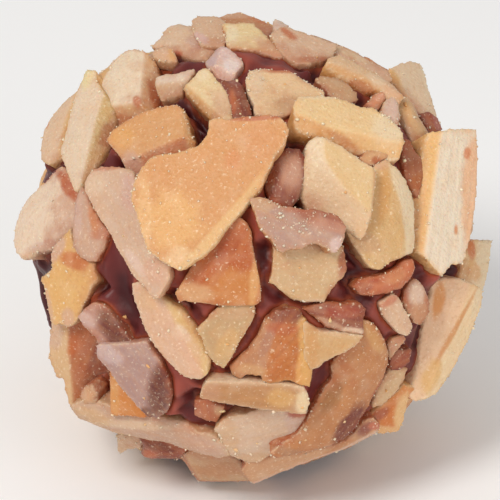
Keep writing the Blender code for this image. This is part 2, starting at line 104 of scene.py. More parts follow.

# How each front piece differs from the default, and its outline as seen from the camera, on a plane through the
# ball's middle. A facet is a line there, to the right of which the face slopes down: x, y, x, y, slope, colour; the
# colour is painted light and shade, the lit or shaded tone of that sloping face. A mark is a blot: x, y, reach along,
# reach across, turn in degrees, colour, strength. Marks give the nut's own skin, toast and chocolate film, and some
# are painted highlights and painted shade.
LOOKS = {
    "slice_crest": dict(
        face=BISCUIT, wall=ORANGE, film=0.8,
        outline=((-2.8, 19.4), (-2.0, 19.75), (-0.8, 19.85), (0.1, 19.6), (1.0, 19.3), (1.7, 19.0), (2.2, 18.5),
                 (1.5, 17.6), (0.3, 18.0), (-1.9, 18.6)),
        marks=((0.4, 19.3, 1.2, 0.2, -18, ORANGE, 0.9), (-1.2, 19.6, 1.3, 0.3, 0, PEACH, 0.6))),
    "slice_far_left": dict(
        face=(240, 214, 188), wall=PEACH, soft=4, dome=0.45,
        outline=((-17.2, 6.0), (-16.4, 6.9), (-16.0, 7.1), (-15.5, 6.4), (-14.9, 5.6), (-14.6, 5.0), (-14.7, 3.8),
                 (-14.8, 2.2), (-15.5, 1.3), (-16.3, 0.5), (-17.2, 0.0), (-18.3, -0.2), (-18.9, -0.7), (-19.5, -0.7),
                 (-19.9, -0.2), (-20.1, 0.8), (-20.0, 2.0), (-19.6, 3.2), (-18.9, 4.4), (-18.0, 5.3)),
        facets=((-19.6, -0.4, -14.4, 2.0, 0.5, PEACH),),
        marks=((-15.4, 5.3, 1.3, 0.45, -62, (190, 96, 60), 0.95), (-16.4, 6.7, 0.9, 0.3, -50, RUST, 0.5),
               (-17.4, 0.4, 1.6, 0.4, 15, ROSE, 0.6))),
    "wedge_left": dict(
        face=(230, 178, 110), wall=TAN, ragged=0.14,
        outline=((-16.5, 0.3), (-15.7, 1.1), (-15.1, 1.9), (-14.8, 0.6), (-14.3, -0.4), (-13.1, -1.0), (-13.0, -2.6),
                 (-13.8, -4.3), (-14.3, -5.6), (-15.0, -6.4), (-16.7, -6.3), (-17.0, -4.6), (-17.3, -3.2),
                 (-17.6, -2.5), (-16.6, -1.5), (-16.7, -0.6)),
        facets=((-13.4, -5.4, -13.3, -1.0, 0.5, TOAST),),
        marks=((-14.6, -0.9, 1.5, 0.7, -20, ORANGE, 0.9), (-16.1, 0.0, 0.5, 1.2, -30, ROSE, 0.7),
               (-15.2, -5.6, 0.5, 0.8, 0, ROSE, 0.6), (-16.8, -4.8, 0.3, 1.6, 10, ROSE, 0.5))),
    "pentagon_middle": dict(
        face=(210, 173, 128), wall=BISCUIT, ragged=0.13, dust=2.0,
        outline=((1.9, 0.6), (1.95, -0.8), (1.8, -1.8), (1.6, -2.7), (2.4, -3.3), (3.4, -4.0), (4.2, -4.4),
                 (6.2, -4.4), (6.9, -3.3), (8.0, -2.1), (8.2, -1.5), (7.9, 0.3), (5.0, 1.0), (3.0, 0.8)),
        facets=((1.4, -2.3, 4.2, -4.15, 0.5, BUTTER), (4.2, -4.15, 6.6, -4.1, 0.5, CREAM)),
        marks=((7.9, -0.8, 0.5, 1.6, -10, RUST, 0.85), (5.5, 0.4, 2.4, 0.5, 0, TAN, 0.6),
               (3.0, -3.9, 1.6, 0.15, -35, (226, 192, 136), 0.7))),
    "lens_middle": dict(
        face=(196, 159, 115), wall=BUTTER, ragged=0.10, dust=2.5,
        outline=((-4.6, -6.8), (-3.9, -6.1), (-3.4, -5.4), (-2.8, -4.9), (-2.0, -4.4), (0.4, -4.4), (0.5, -5.3),
                 (0.1, -6.2), (-0.6, -7.4), (-1.3, -8.5), (-1.6, -9.2), (-2.2, -9.95), (-2.9, -9.6), (-3.5, -8.9),
                 (-3.9, -8.0), (-4.1, -7.2)),
        facets=((-1.7, -9.6, 0.3, -5.6, 0.4, CREAM),),
        marks=((-1.4, -5.3, 2.2, 0.5, 0, TAN, 0.7), (-1.9, -7.9, 0.8, 1.4, -30, GOLD, 0.5))),
    "oval_left": dict(
        face=(222, 178, 148), wall=CREAM, soft=3, dome=0.25, ragged=0.05,
        outline=((-10.0, -2.9), (-9.3, -2.6), (-8.6, -3.2), (-7.5, -3.9), (-6.6, -4.7), (-5.6, -5.5), (-4.9, -6.4),
                 (-4.3, -7.3), (-3.8, -8.3), (-3.5, -9.3), (-3.6, -10.4), (-4.1, -10.9), (-5.0, -10.9),
                 (-6.0, -10.4), (-7.0, -9.4), (-8.0, -8.2), (-8.8, -6.9), (-9.3, -5.6), (-9.8, -4.2)),
        facets=((-4.0, -10.4, -6.8, -5.2, 0.6, (226, 184, 112)),),
        # painted highlight: the pale mark at -5.6, -7.0
        marks=((-5.6, -7.0, 0.9, 0.25, -55, (244, 220, 196), 0.7), (-5.0, -8.6, 1.6, 0.7, -60, (226, 178, 148), 0.6),
               (-8.6, -4.2, 1.0, 0.8, -50, SAND, 0.5))),
    "slice_low_right": dict(
        face=(194, 128, 80), wall=RUST, soft=3, dome=0.3, dust=1.8, grain=0.9,
        outline=((9.5, -6.0), (10.3, -6.2), (10.9, -6.8), (11.4, -7.7), (11.7, -8.6), (11.7, -9.6), (11.4, -10.6),
                 (10.9, -11.6), (10.2, -12.9), (9.6, -13.9), (9.0, -14.9), (8.2, -15.8), (7.4, -16.3), (6.0, -16.8),
                 (4.6, -17.1), (2.2, -17.6), (1.7, -17.2), (2.6, -16.5), (4.2, -15.6), (4.7, -14.7), (5.2, -13.7),
                 (6.3, -11.8), (7.0, -11.0), (6.9, -9.7), (7.6, -8.9), (8.6, -8.0)),
        marks=((8.4, -14.6, 2.0, 0.8, 52, (120, 48, 38), 1.0), (10.8, -11.9, 1.2, 0.3, 65, RUST, 0.8),
               (10.4, -7.4, 1.6, 0.5, -60, (214, 160, 98), 0.7), (6.9, -12.4, 1.4, 0.6, 60, (140, 92, 48), 0.6),
               (3.4, -17.0, 1.6, 0.4, -12, (176, 126, 92), 0.7))),
    "lump_low_left": dict(
        face=(226, 184, 136), wall=ORANGE, soft=3, dome=0.2, ragged=0.22,
        outline=((-16.7, -5.8), (-16.85, -7.5), (-17.0, -9.0), (-16.6, -10.0), (-16.2, -10.7), (-15.7, -10.9),
                 (-15.6, -11.8), (-15.3, -12.9), (-14.6, -13.8), (-13.0, -13.3), (-12.6, -11.5), (-12.7, -9.5),
                 (-12.9, -8.2), (-13.4, -7.2), (-14.1, -6.1), (-15.2, -5.6)),
        # painted shade: its facet gives the shaded right wall a deep orange-brown
        facets=((-14.9, -13.0, -15.3, -6.0, 0.7, (178, 84, 34)),),
        marks=((-13.2, -9.3, 2.8, 0.7, 80, COCOA, 1.0), (-14.6, -7.6, 1.2, 0.5, 70, (206, 104, 40), 0.8),
               (-16.3, -7.0, 0.7, 1.2, 0, ROSE, 0.5))),
    "chip_bottom": dict(
        face=TAN, wall=FILM, ragged=0.12,
        outline=((-5.9, -17.8), (-5.4, -17.0), (-4.4, -16.7), (-1.9, -16.9), (-0.9, -17.6), (-0.5, -18.2),
                 (-0.2, -19.0), (0.4, -19.75), (-0.3, -19.5), (-2.5, -19.6), (-4.2, -19.8), (-5.0, -19.0),
                 (-5.4, -18.4)),
        facets=((-5.2, -17.6, -4.2, -19.2, 0.8, (190, 104, 58)), (-4.2, -19.2, 0.4, -19.3, 0.8, (190, 104, 58))),
        marks=((-2.6, -18.3, 2.0, 0.6, 0, BISCUIT, 0.7),)),
    "quad_top_middle": dict(
        face=(237, 199, 154), wall=CREAM, dust=2.2,
        outline=((-0.4, 14.3), (-0.1, 15.0), (1.0, 15.2), (2.6, 15.1), (3.6, 14.9), (4.8, 14.1), (6.2, 13.3),
                 (6.4, 12.5), (4.0, 12.2), (3.6, 11.5), (2.6, 11.2), (1.4, 11.2), (0.4, 11.3), (0.2, 12.4),
                 (-0.2, 13.2)),
        marks=((0.6, 14.0, 0.6, 1.2, 0, CREAM, 0.7), (3.4, 12.1, 1.8, 0.6, 0, TAN, 0.5),
               (2.6, 15.0, 1.6, 0.25, 0, (186, 92, 60), 0.8))),
    "chip_upper_right": dict(
        face=TAN, wall=FILM, dust=1.5,
        outline=((5.4, 14.3), (6.0, 14.7), (7.5, 14.3), (8.3, 13.9), (8.9, 13.2), (9.1, 12.5), (8.3, 12.2),
                 (6.9, 12.6), (6.2, 13.6))),
    "plank_end_on": dict(
        face=(238, 200, 150), wall=TOAST, soft=2, dome=0.15,
        outline=((11.7, 15.2), (12.6, 15.7), (13.5, 15.9), (14.3, 15.75), (14.6, 15.2), (15.0, 13.6), (15.5, 12.0),
                 (15.9, 10.7), (14.9, 11.0), (14.1, 11.6), (13.2, 12.8), (12.2, 13.8), (11.8, 14.5)),
        facets=((12.9, 13.2, 11.9, 15.2, 0.0, CREAM),),
        marks=((12.1, 14.4, 0.3, 0.8, 25, GOLD, 0.8), (14.7, 14.4, 0.3, 1.6, 15, IVORY, 0.8))),
    "sliver_upper_right": dict(
        face=SAND, wall=CREAM, soft=3, dome=0.35,
        outline=((12.8, 12.9), (13.2, 13.0), (13.8, 12.4), (14.3, 11.2), (15.1, 10.0), (15.2, 9.3), (14.8, 8.3),
                 (14.4, 7.8), (13.7, 9.3), (13.1, 10.6), (12.6, 11.9)),
        marks=((12.9, 11.6, 0.4, 1.2, 25, GOLD, 0.7), (14.6, 9.1, 0.8, 0.7, 0, BISCUIT, 0.8))),
    "shard_right": dict(
        face=(222, 178, 120), wall=BUTTER, soft=2, dome=0.2,
        outline=((10.4, 7.2), (11.4, 7.6), (12.4, 6.9), (13.2, 6.0), (13.8, 4.8), (14.1, 3.6), (14.0, 2.0),
                 (14.05, 0.3), (13.9, -0.2), (13.0, -0.5), (11.8, -1.1), (10.9, -1.7), (10.2, -1.5), (9.3, -0.4),
                 (8.5, 0.9), (8.0, 2.2), (9.0, 3.0), (10.0, 4.0)),
        facets=((12.2, -1.6, 12.9, 1.0, 0.25, BUTTER), (12.9, 1.0, 12.0, 8.0, 0.25, IVORY)),
        marks=((12.7, 5.0, 2.4, 0.5, 112, IVORY, 0.8), (9.6, 0.6, 1.4, 0.9, 0, TAN, 0.7),
               (11.0, 7.2, 0.7, 0.5, 0, PEACH, 0.8), (11.2, 4.6, 2.2, 0.5, 85, (222, 160, 88), 0.7))),
    "shard_far_right": dict(
        film=0.4, face=BUTTER, wall=TOAST,
        outline=((18.5, 0.9), (20.3, 0.8), (20.15, -0.6), (19.9, -2.2), (19.6, -3.4), (18.4, -3.4), (17.4, -2.6),
                 (17.8, -1.3), (18.1, 0.0)),
        facets=((18.8, -0.6, 19.1, 0.9, 0.0, IVORY),),
        marks=((18.5, 0.1, 0.3, 1.0, 0, (206, 112, 50), 0.9), (18.7, -1.7, 0.5, 0.9, 20, TOAST, 0.7))),
    "slab_far_right": dict(
        film=0.3, face=(250, 232, 206), wall=GOLD, fibre=1.0, soft=1, grain=1.0, ragged=0.06,
        outline=((15.3, 9.9), (16.0, 10.0), (17.0, 10.15), (19.05, 10.15), (19.1, 8.0), (19.05, 6.0), (18.95, 4.0),
                 (18.7, 2.0), (18.2, 0.0), (17.9, -1.2), (17.0, -1.2), (16.1, -2.2), (15.4, -1.5), (14.7, -0.6),
                 (14.0, -0.1), (14.0, 2.0), (14.1, 4.0), (14.4, 5.6), (14.7, 7.0), (15.0, 8.6)),
        facets=((16.1, 9.9, 15.3, 4.6, 0.7, (246, 190, 110)), (15.0, 4.6, 14.6, -0.4, 0.7, (240, 184, 122))),
        marks=((18.5, 5.0, 5.0, 0.8, 88, (246, 190, 146), 0.85), (18.1, 8.1, 0.3, 0.5, 0, (226, 132, 84), 0.8),
               (17.2, 1.7, 0.15, 0.45, 0, (222, 140, 86), 0.9))),
    "slab_low_right": dict(
        film=0.25, face=(250, 218, 172), wall=GOLD, fibre=0.5, soft=1, ragged=0.08,
        outline=((16.0, -3.0), (16.8, -2.6), (17.9, -2.5), (18.5, -2.7), (19.6, -3.4), (19.3, -5.0), (18.4, -7.4),
                 (17.2, -9.6), (16.2, -11.4), (15.8, -12.0), (15.0, -12.4), (14.0, -12.8), (13.7, -12.4),
                 (13.8, -11.9), (14.1, -11.0), (14.6, -9.0), (14.9, -7.4), (15.3, -5.6), (15.9, -3.8)),
        facets=((18.7, -3.0, 17.3, -6.0, 0.45, (250, 206, 156)), (17.3, -6.0, 14.9, -11.9, 0.45, (250, 208, 170))),
        marks=((16.3, -4.4, 1.4, 0.35, 75, (236, 160, 84), 0.9), (17.1, -6.6, 3.6, 0.18, 62, (222, 146, 78), 0.8),
               (15.2, -10.6, 1.4, 0.6, 70, (240, 186, 110), 0.7), (18.9, -4.4, 1.4, 0.3, 75, IVORY, 0.7))),
    "slab_top_right": dict(
        face=(222, 184, 154), wall=TAN, dust=1.5,
        outline=((1.7, 18.2), (2.6, 18.75), (3.1, 18.8), (4.5, 18.3), (6.0, 17.75), (7.4, 17.2), (6.9, 16.2),
                 (6.2, 15.9), (4.8, 15.6), (3.9, 15.6), (3.0, 16.1), (2.2, 17.0)),
        marks=((3.2, 18.1, 0.9, 0.3, -38, (198, 112, 72), 0.9), (5.2, 15.9, 1.6, 0.25, 0, RUST, 0.6))),
    "shard_top": dict(
        face=(240, 212, 158), wall=ORANGE, ragged=0.12,
        outline=((-2.4, 18.95), (-2.0, 19.05), (-1.2, 18.95), (-0.7, 19.15), (0.3, 19.0), (0.9, 18.5), (1.8, 17.6),
                 (2.6, 17.0), (3.1, 16.4), (2.6, 16.2), (1.5, 16.4), (0.2, 16.7), (-0.8, 16.8), (-1.7, 17.0),
                 (-2.0, 17.2), (-2.1, 18.2)),
        facets=((-1.0, 16.9, 3.2, 16.5, 0.6, ORANGE),),
        marks=((1.6, 17.0, 1.4, 0.5, -25, PEACH, 0.7), (-1.5, 17.9, 0.5, 0.9, 0, (246, 228, 190), 0.7))),
    "block_upper_left": dict(
        face=(240, 212, 164), wall=TOAST, soft=1,
        outline=((-5.7, 13.7), (-5.2, 14.1), (-4.8, 14.4), (-4.3, 15.1), (-3.6, 15.4), (-3.3, 15.0), (-2.9, 14.5),
                 (-2.3, 13.9), (-1.8, 13.0), (-1.6, 12.0), (-1.5, 10.9), (-2.3, 10.8), (-3.3, 11.1), (-4.4, 12.2),
                 (-5.3, 13.2)),
        facets=((-5.5, 14.0, -2.2, 11.0, 0.8, (224, 160, 90)),),
        marks=((-2.4, 12.4, 0.8, 1.2, 20, PEACH, 0.6), (-4.0, 14.6, 0.6, 0.5, 0, (246, 226, 190), 0.6))),
    "slice_far_upper_left": dict(
        face=(232, 196, 162), wall=(226, 178, 108), soft=4, dome=0.35, ragged=0.04,
        outline=((-17.7, 7.6), (-17.75, 8.6), (-17.5, 10.0), (-17.0, 11.0), (-16.3, 12.0), (-15.4, 12.9),
                 (-14.5, 13.6), (-14.2, 12.0), (-15.0, 9.5), (-15.8, 8.0), (-17.0, 7.2)),
        facets=((-16.4, 7.4, -14.9, 12.6, 0.5, (226, 178, 100)),),
        marks=((-17.1, 10.5, 0.15, 0.3, 0, ORANGE, 0.8),)),
    "chip_left": dict(
        face=(206, 166, 142), wall=RUST, soft=3, dome=0.25,
        outline=((-14.3, 5.4), (-14.0, 5.1), (-13.6, 4.3), (-13.2, 3.3), (-12.6, 2.4), (-11.9, 1.6), (-12.2, 0.5),
                 (-12.7, -0.4), (-13.0, -1.0), (-13.6, -1.0), (-14.3, -0.6), (-14.9, 0.3), (-15.0, 2.0),
                 (-14.8, 4.0)),
        marks=((-13.1, 2.6, 0.4, 1.4, 12, (210, 128, 74), 0.85), (-12.6, 1.3, 0.8, 0.5, 0, (196, 120, 88), 0.7),
               (-14.4, 2.6, 0.4, 1.8, 0, ROSE, 0.7))),
    "quad_toasted": dict(
        face=(222, 162, 106), wall=(200, 124, 84), ragged=0.12, dust=2.5, grain=1.0,
        outline=((-12.1, 9.2), (-11.6, 10.0), (-10.9, 10.5), (-9.6, 11.3), (-8.6, 11.8), (-7.2, 12.1), (-6.4, 12.25),
                 (-5.7, 12.0), (-5.3, 11.0), (-5.1, 10.0), (-4.8, 9.3), (-5.0, 8.6), (-6.4, 7.9), (-8.5, 7.2),
                 (-9.3, 6.6), (-9.9, 5.9), (-10.5, 6.7), (-10.9, 7.8)),
        facets=((-8.4, 8.3, -4.9, 9.8, 0.9, (206, 116, 78)), (-5.5, 9.4, -5.9, 12.3, 0.9, (222, 156, 88))),
        marks=((-10.0, 7.4, 0.8, 0.8, 0, ROSE, 0.6), (-10.6, 9.4, 1.0, 0.8, 0, (232, 170, 96), 0.6))),
    "plank_right_back": dict(
        face=(226, 182, 150), wall=SAND, ragged=0.03,
        outline=((6.4, 17.5), (7.4, 17.15), (8.9, 16.5), (10.0, 15.9), (11.6, 15.05), (12.0, 14.3), (11.2, 13.8),
                 (9.5, 14.6), (7.3, 15.9)),
        marks=((8.4, 16.3, 1.6, 0.3, -28, (230, 196, 156), 0.8),)),
    "plank_bottom_left": dict(
        face=(203, 164, 140), wall=TAN, fibre=0.4, soft=2, dome=0.3,
        outline=((-15.2, -13.2), (-14.4, -14.3), (-13.0, -14.95), (-11.2, -15.75), (-9.8, -15.9), (-8.6, -16.1),
                 (-7.4, -16.2), (-6.0, -16.7), (-4.0, -17.3), (-2.8, -17.6), (-1.8, -17.4), (-2.2, -16.4),
                 (-3.0, -15.8), (-4.6, -15.3), (-5.4, -14.7), (-6.8, -14.3), (-8.5, -13.8), (-11.0, -13.6),
                 (-12.4, -13.0), (-13.8, -12.6)),
        facets=((-15.0, -14.0, -11.0, -15.2, 0.5, (214, 168, 124)),),
        marks=((-9.5, -14.6, 3.6, 0.35, -3, CREAM, 0.6), (-13.2, -13.9, 1.6, 0.6, -20, SAND, 0.7),
               (-4.0, -16.5, 1.6, 0.6, -20, (206, 160, 136), 0.7))),
    "oval_bottom": dict(
        face=(219, 186, 159), wall=TAN, soft=2, dome=0.15, ragged=0.16, dust=1.8,
        outline=((-2.95, -15.1), (-2.4, -14.4), (-1.6, -14.0), (-0.4, -13.8), (0.9, -13.45), (2.6, -13.2),
                 (4.4, -13.5), (4.9, -13.9), (4.6, -14.8), (4.4, -15.6), (3.6, -16.1), (2.4, -16.8), (1.6, -17.3),
                 (0.9, -17.8), (-0.2, -17.85), (-1.2, -17.5), (-1.9, -17.2), (-2.4, -16.3)),
        facets=((3.2, -15.3, 2.6, -13.4, 0.25, (216, 182, 164)),),
        marks=((4.0, -13.9, 1.0, 0.3, -10, (176, 84, 60), 0.85), (-1.8, -15.6, 0.9, 1.2, 0, (214, 170, 128), 0.6),
               (0.6, -17.3, 1.8, 0.4, 0, TAN, 0.6))),
    "shard_low_right": dict(
        face=(215, 169, 115), wall=CREAM, ragged=0.12,
        outline=((4.4, -5.8), (5.2, -6.4), (5.8, -6.75), (7.2, -6.95), (9.6, -7.2), (8.9, -8.1), (7.8, -8.7),
                 (6.9, -9.1), (6.3, -9.4), (5.9, -9.8), (5.1, -10.1), (4.4, -9.0)),
        marks=((5.2, -8.0, 0.6, 2.0, 0, (214, 156, 96), 0.7),)),
    "sliver_bottom_right": dict(
        face=(212, 160, 120), wall=RUST,
        outline=((-0.7, -18.6), (-0.3, -17.7), (0.9, -17.6), (2.0, -17.1), (4.0, -16.9), (5.5, -16.7), (7.0, -16.3),
                 (8.0, -15.9), (8.9, -15.2), (9.6, -14.4), (10.4, -14.1), (11.0, -14.7), (10.6, -15.4),
                 (9.0, -16.4), (7.6, -17.0), (5.0, -17.8), (2.6, -18.7), (0.4, -19.8), (-0.3, -19.2)),
        facets=((0.4, -19.3, 5.4, -17.4, 0.5, (226, 184, 160)), (5.4, -17.4, 10.9, -14.9, 0.5, (226, 190, 166))),
        marks=((9.6, -15.0, 0.9, 0.4, 40, (140, 66, 60), 0.9), (10.4, -14.7, 0.5, 0.3, 0, (206, 110, 84), 0.8),
               (7.6, -16.4, 1.6, 0.2, 25, BISCUIT, 0.8))),
    "corner_bottom_right": dict(
        face=(218, 122, 48), wall=GOLD,
        outline=((10.0, -13.9), (11.2, -12.9), (12.4, -11.8), (13.0, -11.3), (13.9, -11.6), (13.3, -12.4),
                 (13.0, -14.0), (12.5, -15.2), (11.2, -15.4), (10.6, -15.4), (10.7, -14.6)),
        marks=((12.8, -13.6, 0.7, 1.9, -8, (240, 192, 132), 1.0), (11.4, -15.1, 1.5, 0.4, 0, (236, 184, 126), 0.9),
               (10.9, -13.7, 0.9, 0.4, 40, (170, 62, 24), 0.8))),
    "shard_pink": dict(
        face=(189, 148, 131), wall=BISCUIT, ragged=0.12, dust=3.0,
        outline=((-0.1, 4.3), (0.9, 4.5), (1.6, 4.2), (2.8, 3.6), (4.6, 3.5), (6.0, 3.3), (7.4, 2.9), (8.1, 1.9),
                 (7.9, 1.0), (7.6, 0.3), (7.3, -0.2), (6.9, -0.25), (6.4, 0.2), (5.7, 0.55), (5.0, 0.5), (4.3, 0.1),
                 (3.4, 0.0), (2.6, -0.2), (2.2, 0.1), (1.7, 0.9), (0.7, 2.0), (0.4, 3.2)),
        marks=((6.0, 2.9, 2.4, 0.8, -12, (166, 94, 70), 0.9), (6.6, 2.0, 1.8, 0.5, -12, (196, 136, 112), 0.7),
               (1.0, 3.8, 1.0, 0.6, -20, TAN, 0.7), (3.9, 3.4, 1.0, 0.3, 0, (176, 96, 70), 0.8),
               (7.2, 0.4, 0.6, 0.7, 0, (228, 202, 196), 0.7))),
    "slab_upper_right": dict(
        face=(244, 208, 154), wall=TOAST, dome=0.1, ragged=0.10, dust=1.5,
        outline=((4.0, 12.9), (5.2, 12.95), (7.0, 12.9), (8.1, 12.6), (9.0, 12.1), (10.3, 11.9), (11.2, 11.4),
                 (12.3, 10.6), (12.9, 9.8), (12.95, 9.0), (12.9, 8.0), (12.2, 7.85), (11.5, 8.0), (10.3, 8.3),
                 (9.0, 8.6), (8.0, 9.0), (6.3, 9.7), (5.2, 9.9), (4.2, 10.4), (3.8, 11.0), (3.65, 12.0)),
        facets=((3.4, 10.9, 6.8, 10.2, 0.9, (236, 180, 112)), (6.8, 10.2, 10.4, 8.6, 0.9, (226, 160, 92)),
                (10.4, 8.6, 13.2, 8.1, 0.5, (236, 196, 150))),
        marks=((11.6, 10.2, 1.4, 1.2, 0, (246, 224, 188), 0.7), (8.2, 9.2, 1.6, 0.3, -28, (206, 128, 70), 0.8),
               (6.0, 12.8, 2.4, 0.2, 0, IVORY, 0.7))),
    "plank_right_front": dict(
        face=(226, 188, 148), wall=TOAST, soft=2, dome=0.15,
        outline=((6.3, 15.6), (6.6, 16.2), (7.6, 16.4), (9.2, 15.6), (10.6, 14.8), (12.0, 13.9), (13.0, 12.9),
                 (12.5, 12.0), (12.0, 12.6), (11.0, 13.5), (10.0, 13.6), (8.8, 14.2), (7.3, 14.9)),
        facets=((6.2, 15.9, 11.2, 13.7, 0.8, (222, 160, 92)),),
        marks=((10.6, 14.2, 0.8, 0.4, -30, CREAM, 0.7), (9.6, 13.9, 1.2, 0.25, -25, (190, 112, 62), 0.8),
               (11.9, 13.0, 1.0, 0.7, -50, PEACH, 0.8))),
    "tusk": dict(
        face=(235, 210, 182), wall=GOLD, soft=3, dome=0.3, ragged=0.04,
        outline=((-16.05, 8.3), (-15.7, 9.6), (-15.3, 11.2), (-14.9, 12.8), (-14.5, 13.7), (-13.8, 15.25),
                 (-13.05, 15.15), (-13.1, 14.5), (-12.4, 13.4), (-11.8, 12.2), (-11.8, 11.3), (-12.1, 10.0),
                 (-12.3, 9.2), (-12.9, 7.9), (-13.9, 6.0), (-14.5, 5.0), (-14.8, 4.9), (-15.5, 6.6)),
        # painted shade: its facets and the brown strip along its right edge darken the side turned from the light
        facets=((-14.4, 5.0, -13.5, 8.5, 0.8, (206, 164, 104)), (-13.5, 8.5, -12.6, 12.0, 0.8, (214, 176, 112))),
        marks=((-13.7, 14.4, 0.5, 1.0, -15, (238, 218, 164), 0.8), (-12.4, 9.9, 1.2, 0.35, 75, (160, 92, 46), 0.7),
               (-13.9, 9.4, 0.3, 1.0, 5, (238, 212, 184), 0.6))),
    "knob_upper_left": dict(
        face=(243, 220, 191), wall=ORANGE, soft=4, dome=0.3, ragged=0.04,
        outline=((-13.2, 14.6), (-12.4, 15.2), (-11.5, 16.1), (-10.6, 16.8), (-9.8, 17.05), (-9.0, 16.85),
                 (-8.3, 16.3), (-8.1, 15.4), (-8.15, 14.3), (-8.0, 13.6), (-8.4, 12.3), (-9.2, 11.7),
                 (-10.0, 11.2), (-10.9, 10.9), (-11.9, 11.0), (-12.7, 12.2)),
        # painted shade: its facets and the dark marks on its right and lower walls
        facets=((-9.3, 12.0, -8.9, 16.9, 1.0, (218, 150, 92)), (-12.4, 12.1, -9.0, 12.4, 0.9, (220, 166, 100))),
        marks=((-12.6, 14.4, 1.4, 0.25, 50, (222, 168, 96), 0.8), (-8.4, 13.4, 0.3, 1.4, 10, (176, 84, 36), 0.85),
               (-9.5, 12.5, 0.3, 0.4, 0, (200, 110, 66), 0.8), (-10.9, 11.4, 0.9, 0.3, 0, (186, 108, 50), 0.8),
               (-9.2, 15.4, 0.9, 0.5, 0, PEACH, 0.5))),
    "ridge_top": dict(
        face=(220, 180, 148), wall=TAN, dust=2.0,
        outline=((-4.9, 18.7), (-4.85, 19.4), (-4.4, 19.6), (-3.4, 19.6), (-2.5, 19.5), (-1.9, 19.0), (-1.9, 17.8),
                 (-2.1, 17.1), (-3.4, 17.0), (-4.2, 17.2), (-4.7, 18.0)),
        marks=((-4.2, 17.7, 0.8, 0.4, -30, (226, 186, 178), 0.8),)),
    "block_top_left": dict(
        face=(230, 194, 162), wall=PEACH, soft=3, dome=0.3,
        outline=((-8.4, 17.2), (-7.6, 17.9), (-7.3, 18.5), (-6.8, 18.95), (-5.9, 19.1), (-4.9, 18.95), (-4.2, 18.2),
                 (-3.8, 17.4), (-3.0, 16.9), (-3.7, 16.1), (-4.9, 16.15), (-5.8, 16.5), (-6.7, 16.8)),
        marks=((-4.5, 17.4, 0.8, 0.6, 0, ROSE, 0.7), (-6.1, 16.5, 0.4, 0.3, 0, (190, 84, 50), 0.9))),
    "chip_top_pink": dict(
        face=(222, 190, 182), wall=ROSE, soft=0, dome=0.0, film=0.3, dust=0.5, ragged=0.04,
        outline=((-3.9, 16.3), (-3.4, 16.7), (-2.7, 17.1), (-2.0, 17.0), (-1.3, 16.5), (-0.7, 16.0), (-0.5, 15.6),
                 (-1.0, 15.0), (-1.5, 14.4), (-2.2, 14.2), (-3.0, 14.4), (-3.1, 15.0), (-3.6, 15.6)),
        facets=((-2.3, 17.2, -3.2, 14.6, 0.8, (206, 172, 172)), (-3.2, 15.6, -1.2, 14.8, 0.8, (214, 162, 146))),
        marks=((-1.6, 15.4, 0.7, 0.6, 0, (238, 220, 212), 0.8),)),
    "slice_lilac": dict(
        face=(178, 140, 132), wall=ROSE, soft=2, dome=0.15, ragged=0.05,
        outline=((-12.9, -8.0), (-12.9, -9.0), (-12.2, -9.8), (-11.8, -10.2), (-11.0, -11.5), (-10.0, -12.6),
                 (-9.2, -13.5), (-8.6, -14.0), (-7.8, -14.2), (-7.0, -13.6), (-6.6, -12.4), (-6.8, -11.0),
                 (-7.4, -9.6), (-8.2, -8.4), (-8.7, -7.7), (-10.5, -7.9)),
        facets=(),
        marks=((-7.3, -11.6, 2.7, 1.1, 78, COCOA, 1.0), (-8.7, -13.7, 0.7, 0.5, 0, COCOA, 0.9),
               (-12.0, -8.7, 1.6, 0.6, -30, (206, 178, 174), 0.8), (-7.9, -8.3, 0.9, 0.5, -50, (140, 66, 52), 0.8))),
    "shard_film": dict(
        face=(140, 62, 44), wall=RUST, soft=2, dome=0.3, film=1.0,
        outline=((4.5, -5.0), (5.4, -4.7), (6.4, -4.4), (8.0, -4.5), (9.3, -4.4), (9.8, -5.0), (9.6, -6.0),
                 (9.65, -7.2), (9.0, -7.1), (7.4, -6.9), (6.4, -6.5), (5.6, -5.8), (5.0, -5.4)),
        marks=((6.6, -6.1, 1.4, 0.3, -20, (206, 160, 130), 0.9), (8.6, -6.8, 1.0, 0.3, -5, (236, 200, 172), 0.95),
               (7.6, -5.2, 1.8, 0.5, 0, (164, 62, 38), 0.8))),
    "chip_orange_right": dict(
        face=(199, 106, 65), wall=RUST, soft=2, dome=0.25, film=1.0,
        outline=((8.7, -3.1), (9.2, -2.5), (10.4, -2.2), (11.6, -1.9), (12.6, -1.4), (13.2, -0.9), (13.8, -0.7),
                 (14.0, -1.6), (13.6, -2.4), (12.8, -3.2), (11.8, -3.6), (10.4, -3.9), (9.3, -3.8)),
        marks=((12.2, -2.2, 1.0, 0.5, 25, (210, 136, 92), 0.8), (9.4, -3.2, 0.8, 0.5, 0, (164, 76, 50), 0.8),
               (10.4, -2.6, 0.5, 0.2, 0, (176, 70, 44), 0.8))),
    "slab_orange": dict(
        face=(184, 90, 36), wall=TAN, soft=1, dust=1.2, ragged=0.05,
        outline=((-1.2, 3.0), (-0.3, 2.4), (0.15, 1.5), (0.2, 0.5), (0.5, -1.0), (0.8, -2.4), (0.95, -4.0),
                 (0.8, -4.4), (0.4, -4.7), (-2.0, -4.7), (-4.0, -4.5), (-5.5, -4.3), (-6.0, -4.35), (-6.3, -3.6),
                 (-5.6, -2.6), (-4.8, -1.0), (-4.4, 0.4), (-3.4, 1.6), (-2.4, 3.0)),
        marks=((-1.2, -3.2, 2.2, 1.6, 0, (204, 128, 62), 0.9), (-4.6, -3.6, 1.6, 0.9, -8, (214, 160, 112), 0.95),
               (0.35, -2.8, 0.4, 2.0, -6, (222, 164, 102), 0.85), (-2.4, 0.6, 1.6, 1.2, 40, (164, 74, 38), 0.6))),
    "slice_long_left": dict(
